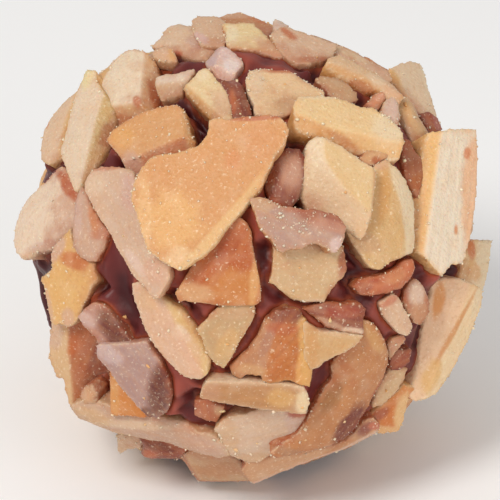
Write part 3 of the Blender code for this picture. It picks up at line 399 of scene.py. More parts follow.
        face=(213, 177, 151), wall=PEACH, soft=3, dome=0.15, ragged=0.07,
        outline=((-13.95, 5.5), (-13.7, 6.2), (-13.2, 6.75), (-12.4, 7.05), (-11.0, 7.0), (-9.8, 6.6), (-9.0, 4.0),
                 (-8.0, 1.0), (-6.8, -1.0), (-6.8, -2.4), (-7.4, -3.5), (-7.9, -4.2), (-8.3, -3.9), (-8.9, -3.1),
                 (-9.9, -2.1), (-10.6, -0.9), (-11.2, 0.2), (-11.9, 1.6), (-12.7, 2.7), (-13.3, 3.8),
                 (-13.9, 5.0)),
        marks=((-12.2, 6.9, 1.4, 0.25, 3, (188, 106, 78), 0.7), (-10.0, 4.8, 0.8, 1.6, 0, (214, 172, 156), 0.8),
               (-8.0, -1.8, 0.9, 1.2, 30, (216, 170, 144), 0.8), (-12.9, 5.4, 0.8, 0.8, 0, CREAM, 0.5),
               (-9.6, -1.0, 1.6, 0.4, -55, (230, 200, 186), 0.6))),
    "plank_bottom_middle": dict(
        face=(188, 133, 85), wall=CREAM, dust=1.5, ragged=0.08,
        outline=((-4.3, -12.4), (-3.9, -11.3), (-3.6, -11.0), (-1.4, -11.1), (0.6, -11.1), (2.6, -11.2),
                 (4.6, -11.6), (4.95, -12.4), (5.05, -12.9), (4.7, -13.8), (3.4, -13.7), (0.9, -13.4),
                 (-1.4, -13.0), (-3.1, -12.7)),
        marks=((4.4, -12.8, 0.6, 1.0, 0, (240, 214, 172), 0.9), (2.6, -12.4, 1.2, 0.8, 0, (224, 172, 104), 0.7),
               (-3.2, -11.9, 0.8, 0.7, 0, (202, 150, 118), 0.6))),
    "nut_coated": dict(
        face=(140, 58, 40), wall=COCOA, soft=3, dome=0.5, film=1.0, ragged=0.03, dust=0.2,
        outline=((1.3, 6.2), (1.6, 7.2), (2.2, 8.2), (3.2, 8.7), (4.2, 8.6), (4.8, 7.8), (4.7, 6.6), (4.5, 5.6),
                 (4.2, 4.4), (3.4, 3.5), (2.4, 3.6), (1.7, 4.2), (1.3, 5.2)),
        marks=((3.4, 6.6, 1.0, 1.6, 8, (198, 144, 120), 1.0), (3.6, 8.6, 1.2, 0.4, 0, (140, 78, 74), 0.9))),
    "lump_orange": dict(
        fibre=1.3, face=(192, 108, 44), wall=TOAST, dome=0.2, ragged=0.12, grain=1.4,
        outline=((-1.7, -10.3), (-1.3, -9.9), (-0.6, -9.2), (0.3, -8.2), (0.9, -7.0), (1.4, -6.0), (2.2, -5.2),
                 (3.2, -4.9), (4.2, -5.2), (4.8, -6.2), (5.1, -7.6), (5.3, -9.2), (5.3, -10.4), (5.1, -11.75),
                 (4.6, -11.5), (3.8, -11.3), (3.2, -11.0), (2.5, -11.1), (1.7, -11.35), (1.2, -11.0), (0.9, -10.7),
                 (0.3, -10.6), (-0.3, -10.8), (-0.7, -11.2), (-1.2, -11.1), (-1.4, -10.8)),
        facets=((2.4, -5.2, 1.0, -11.4, 0.35, (190, 134, 98)), (4.4, -12.0, 3.8, -5.2, 0.5, (236, 178, 104))),
        marks=((3.0, -5.4, 1.7, 0.8, 0, (130, 52, 40), 0.95), (2.6, -8.2, 2.2, 0.5, 75, (196, 112, 56), 0.7),
               (0.2, -10.2, 1.2, 0.5, 0, (214, 160, 104), 0.6), (4.4, -10.0, 1.6, 0.5, 85, (238, 176, 96), 0.7),
               (1.6, -7.4, 1.6, 0.4, 65, (176, 120, 98), 0.7), (2.6, -6.6, 1.4, 0.5, 0, (186, 86, 46), 0.6))),
    "block_right": dict(
        face=(236, 200, 147), wall=CREAM, soft=1, ragged=0.05,
        outline=((5.0, 9.0), (5.2, 9.4), (5.6, 9.6), (6.4, 9.4), (7.8, 8.6), (9.4, 7.5), (10.3, 7.0), (10.7, 6.6),
                 (10.6, 5.6), (10.4, 4.0), (10.2, 2.4), (10.0, 1.4), (9.7, 1.2), (9.4, 1.3), (8.9, 1.8),
                 (8.2, 2.2), (7.4, 2.35), (6.4, 3.0), (5.4, 3.8), (4.7, 4.9), (4.5, 5.9), (4.8, 7.0), (4.9, 8.0)),
        facets=((6.2, 9.6, 6.3, 7.6, 0.6, (240, 218, 184)), (6.3, 7.6, 7.9, 5.2, 0.6, (236, 208, 174)),
                (7.9, 5.2, 10.4, 3.0, 0.6, (228, 192, 152)), (10.1, 1.0, 10.3, 7.0, 0.6, (222, 164, 110))),
        marks=((5.5, 7.0, 0.2, 1.0, 0, IVORY, 0.5), (6.0, 4.4, 1.0, 0.6, -35, (222, 182, 146), 0.6),
               (9.6, 2.0, 0.5, 0.8, 0, (230, 190, 146), 0.7))),
    "heart": dict(
        face=(218, 154, 95), wall=BUTTER, ragged=0.07, dust=3.0, grain=1.2,
        outline=((-3.5, 10.9), (-3.0, 11.05), (-1.5, 11.05), (0.3, 11.25), (1.5, 11.4), (2.5, 11.2), (3.0, 10.7),
                 (3.25, 10.2), (3.1, 9.6), (2.8, 8.8), (2.2, 8.1), (1.5, 6.6), (0.9, 5.3), (0.0, 4.2), (-1.0, 3.0),
                 (-1.9, 2.1), (-2.9, 0.7), (-4.0, -0.4), (-5.1, -1.1), (-5.9, -1.75), (-6.6, -1.4), (-7.6, -0.8),
                 (-8.6, 0.0), (-9.2, 1.8), (-9.6, 3.2), (-10.0, 4.2), (-9.8, 5.4), (-9.5, 6.2), (-9.1, 6.9),
                 (-8.4, 7.7), (-7.7, 8.05), (-6.5, 8.1), (-5.4, 8.4), (-4.4, 8.75), (-3.7, 9.6), (-3.5, 10.3)),
        facets=((-5.6, -0.9, 1.0, 6.6, 0.45, (240, 196, 138)), (1.0, 6.6, 2.9, 11.4, 0.45, (232, 168, 110))),
        marks=((0.9, 9.0, 1.8, 1.6, 0, (220, 152, 98), 0.6), (-6.4, 2.4, 2.2, 2.4, 0, (238, 184, 116), 0.7),
               (-1.4, 7.4, 0.8, 0.8, 0, (222, 140, 86), 0.5), (0.4, 11.0, 2.4, 0.2, 3, (186, 96, 66), 0.8),
               (-6.0, -0.6, 1.2, 0.8, 20, (240, 200, 150), 0.7), (-8.8, 3.0, 0.6, 3.0, 0, (240, 192, 132), 0.6))),
}

# Smaller pieces that the front shows: look, thickness, lift above NUT_RADIUS, and how far they turn to face
# forwards.
SMALL = (
    (dict(face=(232, 206, 184), wall=TAN, ragged=0.12,
          outline=((-8.0, 14.45), (-7.4, 14.7), (-6.2, 14.85), (-5.0, 15.2), (-4.5, 15.2), (-5.1, 14.2),
                   (-5.7, 13.7), (-5.8, 13.3), (-6.6, 13.1), (-7.6, 12.9), (-7.9, 13.5)),
          facets=((-7.9, 13.9, -5.4, 14.2, 0.5, (204, 160, 118)),)), 1.0, 0.0, 0.25),
    (dict(face=PEACH, wall=TAN, soft=3,
          outline=((-8.3, 16.6), (-7.2, 17.1), (-6.5, 16.9), (-6.1, 16.1), (-6.2, 15.8), (-7.3, 15.9), (-8.1, 16.1)),
          marks=((-6.4, 16.3, 0.4, 0.7, 10, TOAST, 0.8),)), 1.2, 0.3, 0.30),
    (dict(face=(240, 232, 218), wall=CREAM,
          outline=((1.9, 19.0), (2.0, 19.5), (2.6, 19.2), (3.3, 18.8), (2.6, 18.4), (2.0, 18.4))), 0.8, 0.4, 0.35),
    (dict(face=(164, 78, 52), wall=COCOA, film=1.0,
          outline=((14.2, 11.5), (15.0, 11.6), (15.7, 11.0), (16.05, 10.1), (15.6, 9.8), (15.1, 9.7), (14.7, 10.7)),
          marks=((15.6, 10.6, 0.3, 0.9, 20, (176, 104, 98), 0.9),)), 1.4, 0.2, 0.35),
    (dict(face=(220, 140, 100), wall=RUST, soft=3, dome=0.3, dust=2.0,
          outline=((9.6, 12.3), (10.2, 12.9), (10.8, 13.4), (11.6, 13.4), (11.5, 12.6), (11.0, 12.0), (10.4, 11.9)),
          marks=((10.9, 12.8, 0.6, 0.3, 20, (232, 170, 140), 0.8),)), 1.3, 0.2, 0.30),
    (dict(face=(228, 194, 176), wall=TAN,
          outline=((11.2, 12.3), (12.0, 13.1), (12.4, 12.5), (12.6, 11.4), (12.5, 10.4), (11.7, 10.8),
                   (11.0, 11.5))), 1.2, 0.3, 0.32),
    (dict(face=(166, 92, 60), wall=RUST, film=0.8,
          outline=((13.0, 9.4), (13.5, 9.1), (13.9, 8.3), (14.5, 7.6), (14.7, 6.9), (14.4, 5.4), (14.1, 4.3),
                   (13.6, 5.0), (13.1, 5.9), (12.8, 7.4), (12.8, 8.6)),
          marks=((13.9, 5.6, 0.5, 1.0, -20, (178, 100, 52), 0.8),)), 1.5, 0.1, 0.30),
    (dict(face=(190, 140, 124), wall=RUST, soft=3, ragged=0.04,
          outline=((-14.5, -5.6), (-13.9, -4.9), (-13.2, -4.4), (-12.4, -4.5), (-11.8, -5.0), (-10.6, -6.8),
                   (-9.6, -8.1), (-12.7, -8.1), (-13.0, -7.3), (-13.7, -6.7)),
          marks=((-13.6, -5.8, 1.0, 0.5, -40, (212, 176, 164), 0.9), (-11.0, -6.4, 2.0, 1.4, -50, COCOA, 1.0))),
     1.2, 0.1, 0.28),
    (dict(face=(212, 160, 120), wall=RUST, soft=4, dome=0.4,
          outline=((-14.4, -12.2), (-14.0, -11.5), (-13.4, -11.5), (-12.9, -12.2), (-13.0, -13.0), (-14.0, -13.2))),
     1.4, 0.9, 0.30),
    (dict(face=(218, 134, 58), wall=ORANGE, ragged=0.04,
          outline=((-11.8, -10.1), (-11.75, -13.9), (-8.7, -14.1), (-8.8, -12.4)),
          marks=((-11.3, -12.2, 0.4, 1.8, 0, (228, 164, 96), 0.7),)), 1.4, 0.1, 0.28),
    (dict(face=(226, 190, 156), wall=CREAM, ragged=0.04,
          outline=((-11.15, -15.4), (-11.15, -16.8), (-10.85, -17.1), (-10.3, -16.75), (-9.2, -16.65),
                   (-9.2, -15.6))), 1.0, 0.2, 0.30),
    (dict(face=(140, 56, 34), wall=COCOA, soft=4, dome=0.5, film=1.0, ragged=0.04,
          outline=((-9.6, -15.8), (-9.1, -16.7), (-9.3, -17.3), (-9.0, -17.6), (-8.2, -17.8), (-6.0, -17.85),
                   (-5.2, -17.1), (-5.0, -16.6), (-7.0, -15.9)),
          marks=((-8.4, -17.2, 0.7, 0.4, 0, (190, 92, 54), 0.8), (-7.0, -16.5, 1.8, 0.3, -8, (110, 40, 30), 0.8))),
     1.8, 0.3, 0.30),
    (dict(face=(224, 172, 124), wall=RUST, soft=2,
          outline=((9.1, 7.7), (9.7, 8.3), (10.6, 8.5), (11.8, 8.3), (11.9, 7.9), (11.0, 7.5), (10.2, 7.0),
                   (9.4, 7.2)),
          marks=((10.5, 7.5, 0.4, 0.3, 0, (180, 84, 46), 0.8),)), 1.3, 0.8, 0.25),
    (dict(face=(224, 184, 152), wall=CREAM, dust=2.0, ragged=0.08,
          outline=((10.85, -4.5), (11.4, -4.1), (12.0, -3.6), (12.5, -3.9), (13.0, -5.0), (13.5, -5.9),
                   (13.75, -6.4), (13.3, -7.2), (12.6, -7.1), (11.9, -6.4), (11.2, -5.6)),
          marks=((11.6, -4.3, 0.8, 0.3, 35, (200, 110, 78), 0.8),)), 1.2, 0.4, 0.24),
    (dict(face=(186, 118, 84), wall=RUST, soft=3, film=0.8,
          outline=((12.9, -3.4), (13.4, -2.7), (13.9, -2.3), (14.5, -2.9), (15.0, -4.0), (15.1, -5.2),
                   (14.4, -6.3), (13.8, -6.2), (13.2, -5.2), (12.9, -4.4)),
          marks=((13.9, -3.7, 0.7, 1.0, 10, (228, 194, 170), 0.95), (14.1, -5.2, 0.7, 0.8, 0, (206, 150, 112), 0.7))),
     1.5, 0.3, 0.28),
    (dict(face=(178, 100, 66), wall=RUST, film=0.9,
          outline=((-4.7, -12.6), (-3.4, -12.6), (-2.1, -13.1), (-2.8, -14.5), (-3.6, -14.4), (-4.7, -13.8)),
          marks=((-2.6, -13.4, 0.4, 0.5, 0, TAN, 0.7),)), 1.2, -0.1, 0.22),
    (dict(face=(222, 184, 140), wall=TAN,
          outline=((13.2, -9.9), (12.9, -11.0), (12.2, -12.0), (11.0, -13.1), (10.2, -13.2), (10.6, -11.9),
                   (11.3, -10.6), (11.9, -9.8))), 1.3, 0.0, 0.26),
    (dict(face=(206, 152, 120), wall=TAN, dust=2.0,
          outline=((11.9, -7.4), (13.0, -7.1), (13.1, -7.6), (12.3, -8.6), (11.8, -9.2), (11.5, -8.2))),
     1.2, 0.0, 0.26),
    (dict(face=(150, 68, 46), wall=COCOA, film=1.0, fibre=0.8,
          outline=((11.7, -9.2), (12.4, -8.4), (13.6, -8.3), (13.4, -9.4), (12.6, -10.1), (11.8, -10.1))),
     1.2, 0.0, 0.26),
    (dict(face=(132, 58, 44), wall=COCOA, soft=3, film=0.3, ragged=0.03,
          outline=((-2.9, 14.5), (-1.9, 14.2), (-1.2, 14.3), (-0.6, 13.9), (-0.3, 13.0), (0.0, 12.2), (0.2, 11.4),
                   (-0.8, 10.9), (-1.8, 10.9), (-2.0, 12.4)),
          marks=((-1.5, 12.2, 0.3, 1.2, 0, (186, 92, 54), 0.9), (-0.5, 12.4, 0.3, 1.2, 5, (96, 40, 36), 0.8),
                 (-1.2, 14.0, 0.6, 0.3, 0, (140, 88, 88), 0.6))), 1.4, -0.25, 0.22),
)

# Where almond dust lies thick: seen x, y, reach.
DUSTY = ((2.2, 2.4, 0.5), (4.3, 2.3, 0.7), (1.4, 3.8, 0.4), (2.6, 3.2, 0.4), (4.8, 1.6, 0.5), (-1.7, 0.75, 0.2),
         (-2.9, -0.6, 0.2), (-0.4, 0.6, 0.3), (-1.3, 1.4, 0.3), (10.6, -15.6, 0.6), (-2.6, 17.9, 0.5),
         (-6.9, 17.6, 0.5), (0.6, 14.4, 0.8), (11.6, 10.6, 0.8), (1.4, -5.6, 0.3))

# Where the chocolate between the front pieces lies deep or stands high: seen x, y, reach, lift.
RELIEF = (
    (-10.3, -4.8, 1.9, -0.7), (-6.6, -12.2, 2.2, 0.7), (-5.8, -11.9, 0.6, -0.9), (-7.5, 12.7, 1.2, -0.5), (-4.4, 10.5, 1.2, -0.5),
    (-12.2, 9.4, 0.5, -0.5), (-12.6, 7.8, 1.1, 0.6), (0.8, -1.5, 1.0, -0.6), (0.4, 3.2, 0.8, -0.5), (-5.0, -5.2, 1.0, -0.6),
    (-1.0, -10.2, 0.9, -0.5), (-1.5, -13.5, 0.9, -0.4), (6.0, -11.5, 1.2, -0.7), (14.0, -9.0, 1.6, -0.5),
    (13.0, 7.7, 0.8, -0.4), (9.5, 13.0, 0.9, -0.4), (8.8, -0.6, 1.0, -0.6), (7.5, -4.0, 0.9, -0.4),
    (-17.3, -1.3, 0.9, -0.5), (-9.4, -10.4, 0.9, -0.3), (12.6, -8.0, 1.0, -0.4),
    (0.3, 15.9, 1.2, 0.8), (2.6, 15.8, 1.2, 0.8), (5.2, 15.1, 0.8, 0.6), (-6.0, 15.5, 1.2, 0.5), (3.8, 9.6, 1.1, 0.8), (8.9, -2.2, 0.8, 0.4),
    (15.0, -2.0, 1.2, 0.5), (11.0, -1.9, 0.7, 0.6), (12.6, -1.4, 0.7, 0.6), (-12.0, -1.8, 1.2, 0.4),
    (-6.3, -2.3, 0.9, 0.4), (9.6, -4.6, 0.7, 0.4), (-0.6, 13.0, 0.7, 0.5), (8.0, 11.9, 0.8, 0.4),
    (-12.4, -3.2, 0.8, 0.3), (-7.4, -12.6, 0.8, 0.3), (-17.9, -4.0, 2.4, -0.9), (-17.6, -8.0, 2.0, -0.6),
)


def linear(colour):
    """A colour as it looks on a screen, as the shader's linear values."""
    c = np.asarray(colour, float) / 255
    return np.where(c <= 0.04045, c / 12.92, ((c + 0.055) / 1.055) ** 2.4)


def smooth_step(low, high, x):
    t = np.clip((x - low) / (high - low), 0, 1)
    return t * t * (3 - 2 * t)


def noise(points, seed=0):
    """Smooth noise from about -1 to 1 at points, whose bumps are about one unit across."""
    base = np.floor(points)
    cell = base.astype(np.int64)
    part = points - base
    fade = part ** 3 * (part * (part * 6 - 15) + 10)
    total = np.zeros(len(points))
    for corner in range(8):
        step = np.array((corner & 1, corner >> 1 & 1, corner >> 2 & 1))
        h = (cell + step) @ np.array((73856093, 19349663, 83492791)) + seed * 2654435
        h = (h ^ (h >> 13)) * 1274126177 & 0x7FFFFFFF
        h = (h ^ (h >> 11)) * 668265263 & 0x7FFFFFFF
        slope = np.stack([(h >> s & 255) / 127.5 - 1 for s in (3, 11, 19)], 1)
        weight = np.where(step, fade, 1 - fade).prod(1)
        total += weight * ((part - step) * slope).sum(1)
    return total * 1.3


def fractal(points, octaves, seed=0):
    return sum(noise(points * 2 ** i, seed + i) / 2 ** i for i in range(octaves))


def face_normals(co, quads):
    return np.cross(co[quads[:, 2]] - co[quads[:, 0]], co[quads[:, 3]] - co[quads[:, 1]])


def vertex_normals(co, quads):
    faces = face_normals(co, quads)
    total = np.zeros_like(co)
    for axis in range(3):
        for corner in range(4):
            total[:, axis] += np.bincount(quads[:, corner], faces[:, axis], len(co))
    return total / np.maximum(np.linalg.norm(total, axis=1, keepdims=True), 1e-12)


def relax(values, edges, passes, strengths=(0.5,)):
    """Values at the vertices, evened out along the edges."""
    values = values.reshape(len(values), -1)
    count = np.bincount(edges.ravel(), minlength=len(values))[:, None]
    for strength in strengths * passes:
        total = np.zeros_like(values)
        for axis in range(values.shape[1]):
            total[:, axis] = (np.bincount(edges[:, 0], values[edges[:, 1], axis], len(values))
                              + np.bincount(edges[:, 1], values[edges[:, 0], axis], len(values)))
        values = values + (total / count - values) * strength
    return values


def quad_edges(quads):
    pairs = np.concatenate([quads[:, (i, (i + 1) % 4)] for i in range(4)])
    return np.unique(np.sort(pairs, 1), axis=0)


def voxel_mesh(bm, size):
    """The solid bm as an even net of quads: vertex places and quads."""
    mesh = bpy.data.meshes.new("rough")
    bm.to_mesh(mesh)
    obj = bpy.data.objects.new("rough", mesh)
    bpy.context.scene.collection.objects.link(obj)
    modifier = obj.modifiers.new("voxels", "REMESH")
    modifier.mode = "VOXEL"
    modifier.voxel_size = size
    fine = obj.evaluated_get(bpy.context.evaluated_depsgraph_get()).to_mesh()
    co = np.empty(len(fine.vertices) * 3)
    fine.vertices.foreach_get("co", co)
    loops = np.empty(len(fine.loops), np.int64)
    fine.loops.foreach_get("vertex_index", loops)
    obj.to_mesh_clear()
    bpy.data.objects.remove(obj)
    bpy.data.meshes.remove(mesh)
    return co.reshape(-1, 3), loops.reshape(-1, 4)


def as_seen(co):
    """Where the camera sees points, on a plane through the ball's middle."""
    drawn = co @ DRAWN.T
    return drawn[:, :2] * (CAMERA_AWAY / (CAMERA_AWAY - drawn[:, 2:]))


def seen_on_plane(outline, middle, normal):
    """The corners of a seen outline, on the plane through middle with that normal."""
    eye = np.array((0, 0, CAMERA_AWAY)) @ DRAWN
    for x, y in outline:
        ray = np.array((x, y, 0)) @ DRAWN - eye
        yield Vector(eye + ray * (((middle - eye) @ normal) / (ray @ normal)))


def cad_slab(node):
    """A CAD node as a bmesh in millimetres from the ball's middle, with its flat faces whole again."""
    bm = bmesh.new()
    bm.from_mesh(node.data)
    for vert in bm.verts:
        vert.co = vert.co / MM - Vector(CENTRE)
    bmesh.ops.remove_doubles(bm, verts=bm.verts, dist=0.002)
    bmesh.ops.dissolve_limit(bm, angle_limit=math.radians(0.6), verts=bm.verts, edges=bm.edges)
    return bm


def outer_face(bm):
    """The outer face's corners and normal."""
    face = max(bm.faces, key=lambda f: f.calc_area() * max(f.normal @ f.calc_center_median().normalized(), 0) ** 4)
    return np.array([v.co for v in face.verts]), np.array(face.normal)


def reshaped(bm, outline):
    """A slab with a seen outline, in the place and of the thickness of the slab bm."""
    corners, up = outer_face(bm)
    middle = corners.mean(0)
    thickness = max((middle - np.array(v.co)) @ up for v in bm.verts)
    bm.free()
    return plain_slab(list(seen_on_plane(outline, middle, up)), thickness)


def tinted(tint, colour, amount):
    amount = np.clip(amount, 0, 1)[:, None]
    return tint * (1 - amount) + linear(colour) * amount


def rim_distance(flat, corners):
    """How far points on a plane lie inside an outline; below 0 outside it."""
    reach = np.full(len(flat), 1e9)
    inside = np.zeros(len(flat), bool)
    for a, b in zip(corners, np.roll(corners, -1, 0)):
        along = b - a
        share = np.clip(((flat - a) @ along) / (along @ along), 0, 1)
        reach = np.minimum(reach, np.linalg.norm(flat - a - share[:, None] * along, axis=1))
        crosses = (a[1] > flat[:, 1]) != (b[1] > flat[:, 1])
        level = b[1] - a[1] if b[1] != a[1] else 1e-9
        inside ^= crosses & (flat[:, 0] < a[0] + (flat[:, 1] - a[1]) / level * along[0])
    return np.where(inside, reach, -reach)


def almond(bm, look, seed, voxel=VOXEL):
    """An almond piece: its mesh, colours and grain from a plain slab and a look."""
    look = {**DEFAULT_LOOK, **look}
    bm.normal_update()
    if "outline" not in look:
        for vert, place in [(v, v.co + v.normal * SWELL * v.calc_shell_factor()) for v in bm.verts]:
            vert.co = place
        bm.normal_update()
    corners, up = outer_face(bm)
    co, quads = voxel_mesh(bm, voxel)
    bm.free()
    edges = quad_edges(quads)

    middle = corners.mean(0)
    spread = corners - middle
    long_way = np.linalg.svd(spread, full_matrices=False)[2][0]
    long_way -= up * (long_way @ up)
    long_way /= np.linalg.norm(long_way)
    axes = np.stack((long_way, np.cross(up, long_way), up))

    co = relax(co, edges, look["soft"], KEEP_SIZE)
    normals = vertex_normals(co, quads)
    local = (co - middle) @ axes.T
    outline = spread @ axes[:2].T
    rim = rim_distance(local[:, :2], outline)
    reach = max(rim.max(), 0.6)
    inward = np.clip(rim / reach, 0, 1)
    seen = as_seen(co)

    # the crowned face, facets and slow unevenness
    drop = look["dome"] * (1 - inward) ** 2
    facets = []
    for x0, y0, x1, y1, slope, colour in look["facets"]:
        along = np.array((x1 - x0, y1 - y0)) / math.hypot(x1 - x0, y1 - y0)
        beyond = along[1] * (seen[:, 0] - x0) - along[0] * (seen[:, 1] - y0)
        facets.append((beyond, slope, colour))
    if facets:
        drop = drop + np.max([slope * np.maximum(beyond, 0) for beyond, slope, _ in facets], 0)
    slow = 0.08 * noise(co * 0.35, seed) + 0.05 * noise(co * 0.9, seed + 1)
    facing = normals @ up
    wall = 1 - smooth_step(0.35, 0.85, facing)
    co = co + up * (slow - drop)[:, None]

    # broken walls: chips out of the rim, running down the wall
    sideways = normals - up * facing[:, None]
    ragged = noise(local * (1.1, 1.1, 0.4), seed + 2) + 0.6 * noise(local * (2.6, 2.6, 1.1), seed + 3)
    co = co + sideways * (look["ragged"] * ragged)[:, None]
    bits = noise(co * 2.4, seed + 4) + 0.7 * noise(co * 4.2, seed + 5)
    co = co + normals * (0.018 * look["grain"] * bits + 0.02 * bits * wall)[:, None]
    if look["fibre"]:
        strand = noise(local * (0.12, 2.6, 1.2), seed + 6)
        co = co + normals * (0.07 * look["fibre"] * strand)[:, None]
    normals = vertex_normals(co, quads)

    # colours: the nut's own, with painted light and shade from the facets and from some marks
    facing = normals @ up
    wall = 1 - smooth_step(0.25, 0.8, facing)
    mottle = fractal(co * 0.45, 3, seed + 7)
    tint = np.tile(linear(look["face"]), (len(co), 1))
    tint = tinted(tint, look["wall"], wall * 0.9)
    bare = 0.15 + 0.85 * (sum(look["face"]) > sum(ORANGE))
    tint = tinted(tint, CREAM, smooth_step(0.1, 0.7, mottle) * 0.16 * (1 - wall) * bare)
    tint = tinted(tint, TOAST, smooth_step(0.1, 0.7, -mottle) * 0.16 * bare)
    tint = tinted(tint, look["wall"], smooth_step(0.5, 0.0, rim) * 0.35)
    # painted light and shade: each facet's sloping side takes its lit or shaded tone
    for beyond, _, colour in facets:
        tint = tinted(tint, colour, smooth_step(-0.12, 0.25, beyond) * 0.85)
    film = np.zeros(len(co))
    wobble = noise(co * 0.9, seed + 8) + 0.5 * noise(co * 2.3, seed + 9)
    # marks paint the nut's own skin, toast and chocolate film, and also painted highlights and painted shade; every
    # dark mark counts as film, the painted shade too
    for x, y, reach_x, reach_y, turn, colour, strength in look["marks"]:
        c, s = math.cos(math.radians(turn)), math.sin(math.radians(turn))
        dx, dy = seen[:, 0] - x, seen[:, 1] - y
        away = np.hypot((dx * c + dy * s) / reach_x, (dy * c - dx * s) / reach_y)
        amount = strength * smooth_step(1.35, 0.65, away + 0.25 * wobble)
        tint = tinted(tint, colour, amount)
        if sum(colour) < sum(ORANGE):
            film = np.maximum(film, amount)
    broken = smooth_step(0.9, 0.55, facing) * smooth_step(0.15, 0.45, facing) * smooth_step(-0.5, 0.3, bits)
    tint = tinted(tint, IVORY, broken * 0.6 * (1 - film) * bare)
    return dict(co=co, quads=quads, normals=normals, tint=tint * TONE, film=film, grain=local, rim=rim,
                wall=wall, dust=look["dust"], wobble=wobble, coat=look["film"])


def stain(parts, ball):
    """The brown film where the almonds stand in the chocolate."""
    tree = surface_tree([ball])
    for part in parts:
        low = np.flatnonzero(np.linalg.norm(part["co"], axis=1) < NUT_RADIUS + 0.8)
        near = np.full(len(part["co"]), 2.0)
        near[low] = [tree.find_nearest(p)[3] for p in part["co"][low].tolist()]
        film = smooth_step(0.9, 0.15, near + 0.4 * part["wobble"]) * part["coat"]
        tint = tinted(part["tint"], RUST, film * 0.8)
        part["tint"] = tinted(tint, COCOA, smooth_step(0.28, 0.0, near + 0.12 * part["wobble"]) * part["coat"])
        part["film"] = np.maximum(part["film"], film)


def joined(parts):
    """Several parts as one."""
    starts = np.cumsum([0] + [len(p["co"]) for p in parts[:-1]])
    whole = {key: np.concatenate([p[key] for p in parts]) for key in ("co", "normals", "tint", "film", "grain")}
    whole["quads"] = np.concatenate([p["quads"] + s for p, s in zip(parts, starts)])
    return whole


def add_piece(name, part, material, replaced=()):
    """The part as an object in the row frame that rides on the truffle."""
    mesh = bpy.data.meshes.new(name)
    places = (part["co"] + CENTRE) * MM
    mesh.from_pydata(places.tolist(), [], part["quads"].tolist())
    tint = np.concatenate((part["tint"], np.ones((len(places), 1))), 1)
    mesh.attributes.new("tint", "FLOAT_COLOR", "POINT").data.foreach_set("color", tint.ravel().astype(np.float32))
    mesh.attributes.new("film", "FLOAT", "POINT").data.foreach_set("value", part["film"].astype(np.float32))
    mesh.attributes.new("grain", "FLOAT_VECTOR", "POINT").data.foreach_set(
        "vector", part["grain"].ravel().astype(np.float32))
    mesh.materials.append(material)
    mesh.shade_smooth()
    obj = bpy.data.objects.new(name, mesh)
    bpy.context.scene.collection.objects.link(obj)
    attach(obj, "root")
    if replaced:
        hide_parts(*replaced)
    return obj


def surface_tree(parts):
    points = np.concatenate([p["co"] for p in parts])
    starts = np.cumsum([0] + [len(p["co"]) for p in parts[:-1]])
    quads = np.concatenate([p["quads"] + s for p, s in zip(parts, starts)])
    return BVHTree.FromPolygons(points.tolist(), quads.tolist())


def ball_grid(cuts):
    """A cube's grid spread evenly over a unit ball: directions and quads."""
    bm = bmesh.new()
    bmesh.ops.create_cube(bm, size=2)
    if cuts:
        bmesh.ops.subdivide_edges(bm, edges=bm.edges, cuts=cuts, use_grid_fill=True)
    co = np.array([v.co for v in bm.verts])
    quads = np.array([[v.index for v in f.verts] for f in bm.faces])
    bm.free()
    co = np.tan(co * math.pi / 4)
    return co / np.linalg.norm(co, axis=1, keepdims=True), quads


def plain_slab(top, thickness):
    """A slab under the outline top, whose walls run towards the ball's middle."""
    bm = bmesh.new()
    face = bm.faces.new([bm.verts.new(p) for p in top])
    lower = bmesh.ops.extrude_face_region(bm, geom=[face])["geom"]
    for vert in (g for g in lower if isinstance(g, bmesh.types.BMVert)):
        vert.co *= 1 - thickness / vert.co.length
    bmesh.ops.recalc_face_normals(bm, faces=bm.faces)
    return bm


def seen_slab(outline, thickness, lift, facing):
    """A slab with a seen outline, lying on the ball behind it."""
    middle = np.array((*np.mean(outline, 0), 0))
    middle[2] = math.sqrt(max((NUT_RADIUS + lift) ** 2 - middle @ middle, 1.0))
    normal = middle / np.linalg.norm(middle) * (1 - facing) + np.array((0, 0, facing))
    normal /= np.linalg.norm(normal)
    return plain_slab(list(seen_on_plane(outline, middle @ DRAWN, normal @ DRAWN)), thickness)


def random_look(rng):
    return dict(face=rng.choice((CREAM, CREAM, BUTTER, BUTTER, SAND, SAND, PEACH, TOAST, TAN, GOLD, IVORY, BISCUIT)),
                wall=rng.choice((GOLD, TOAST, CREAM, BUTTER, TAN, ORANGE, BISCUIT)),
                soft=rng.choice((0, 0, 0, 1, 2, 5)), dome=rng.choice((0.05, 0.1, 0.2, 0.4)),
                ragged=rng.choice((0.08, 0.12, 0.2, 0.25)), fibre=rng.choice((0, 0, 0, 0.6)),
                film=rng.uniform(0.5, 1.0), dust=rng.uniform(0.5, 2.5))


def spread_directions(count):
    """Directions spread evenly over the ball."""
    i = np.arange(count)
    z = 1 - 2 * (i + 0.5) / count
    turn = i * math.pi * (3 - math.sqrt(5))
    r = np.sqrt(1 - z * z)
    return np.stack((r * np.cos(turn), r * np.sin(turn), z), 1)


def uneven_outline(rng, half_length, half_width):
    count = rng.choice((3, 4, 4, 4, 5, 5, 6))
    start = rng.uniform(0, math.tau)
    for i in range(count):
        angle = start + (i + rng.uniform(-0.3, 0.3)) * math.tau / count
        reach = rng.uniform(0.8, 1.3)
        yield Vector((reach * half_length * math.cos(angle), reach * half_width * math.sin(angle), 0))


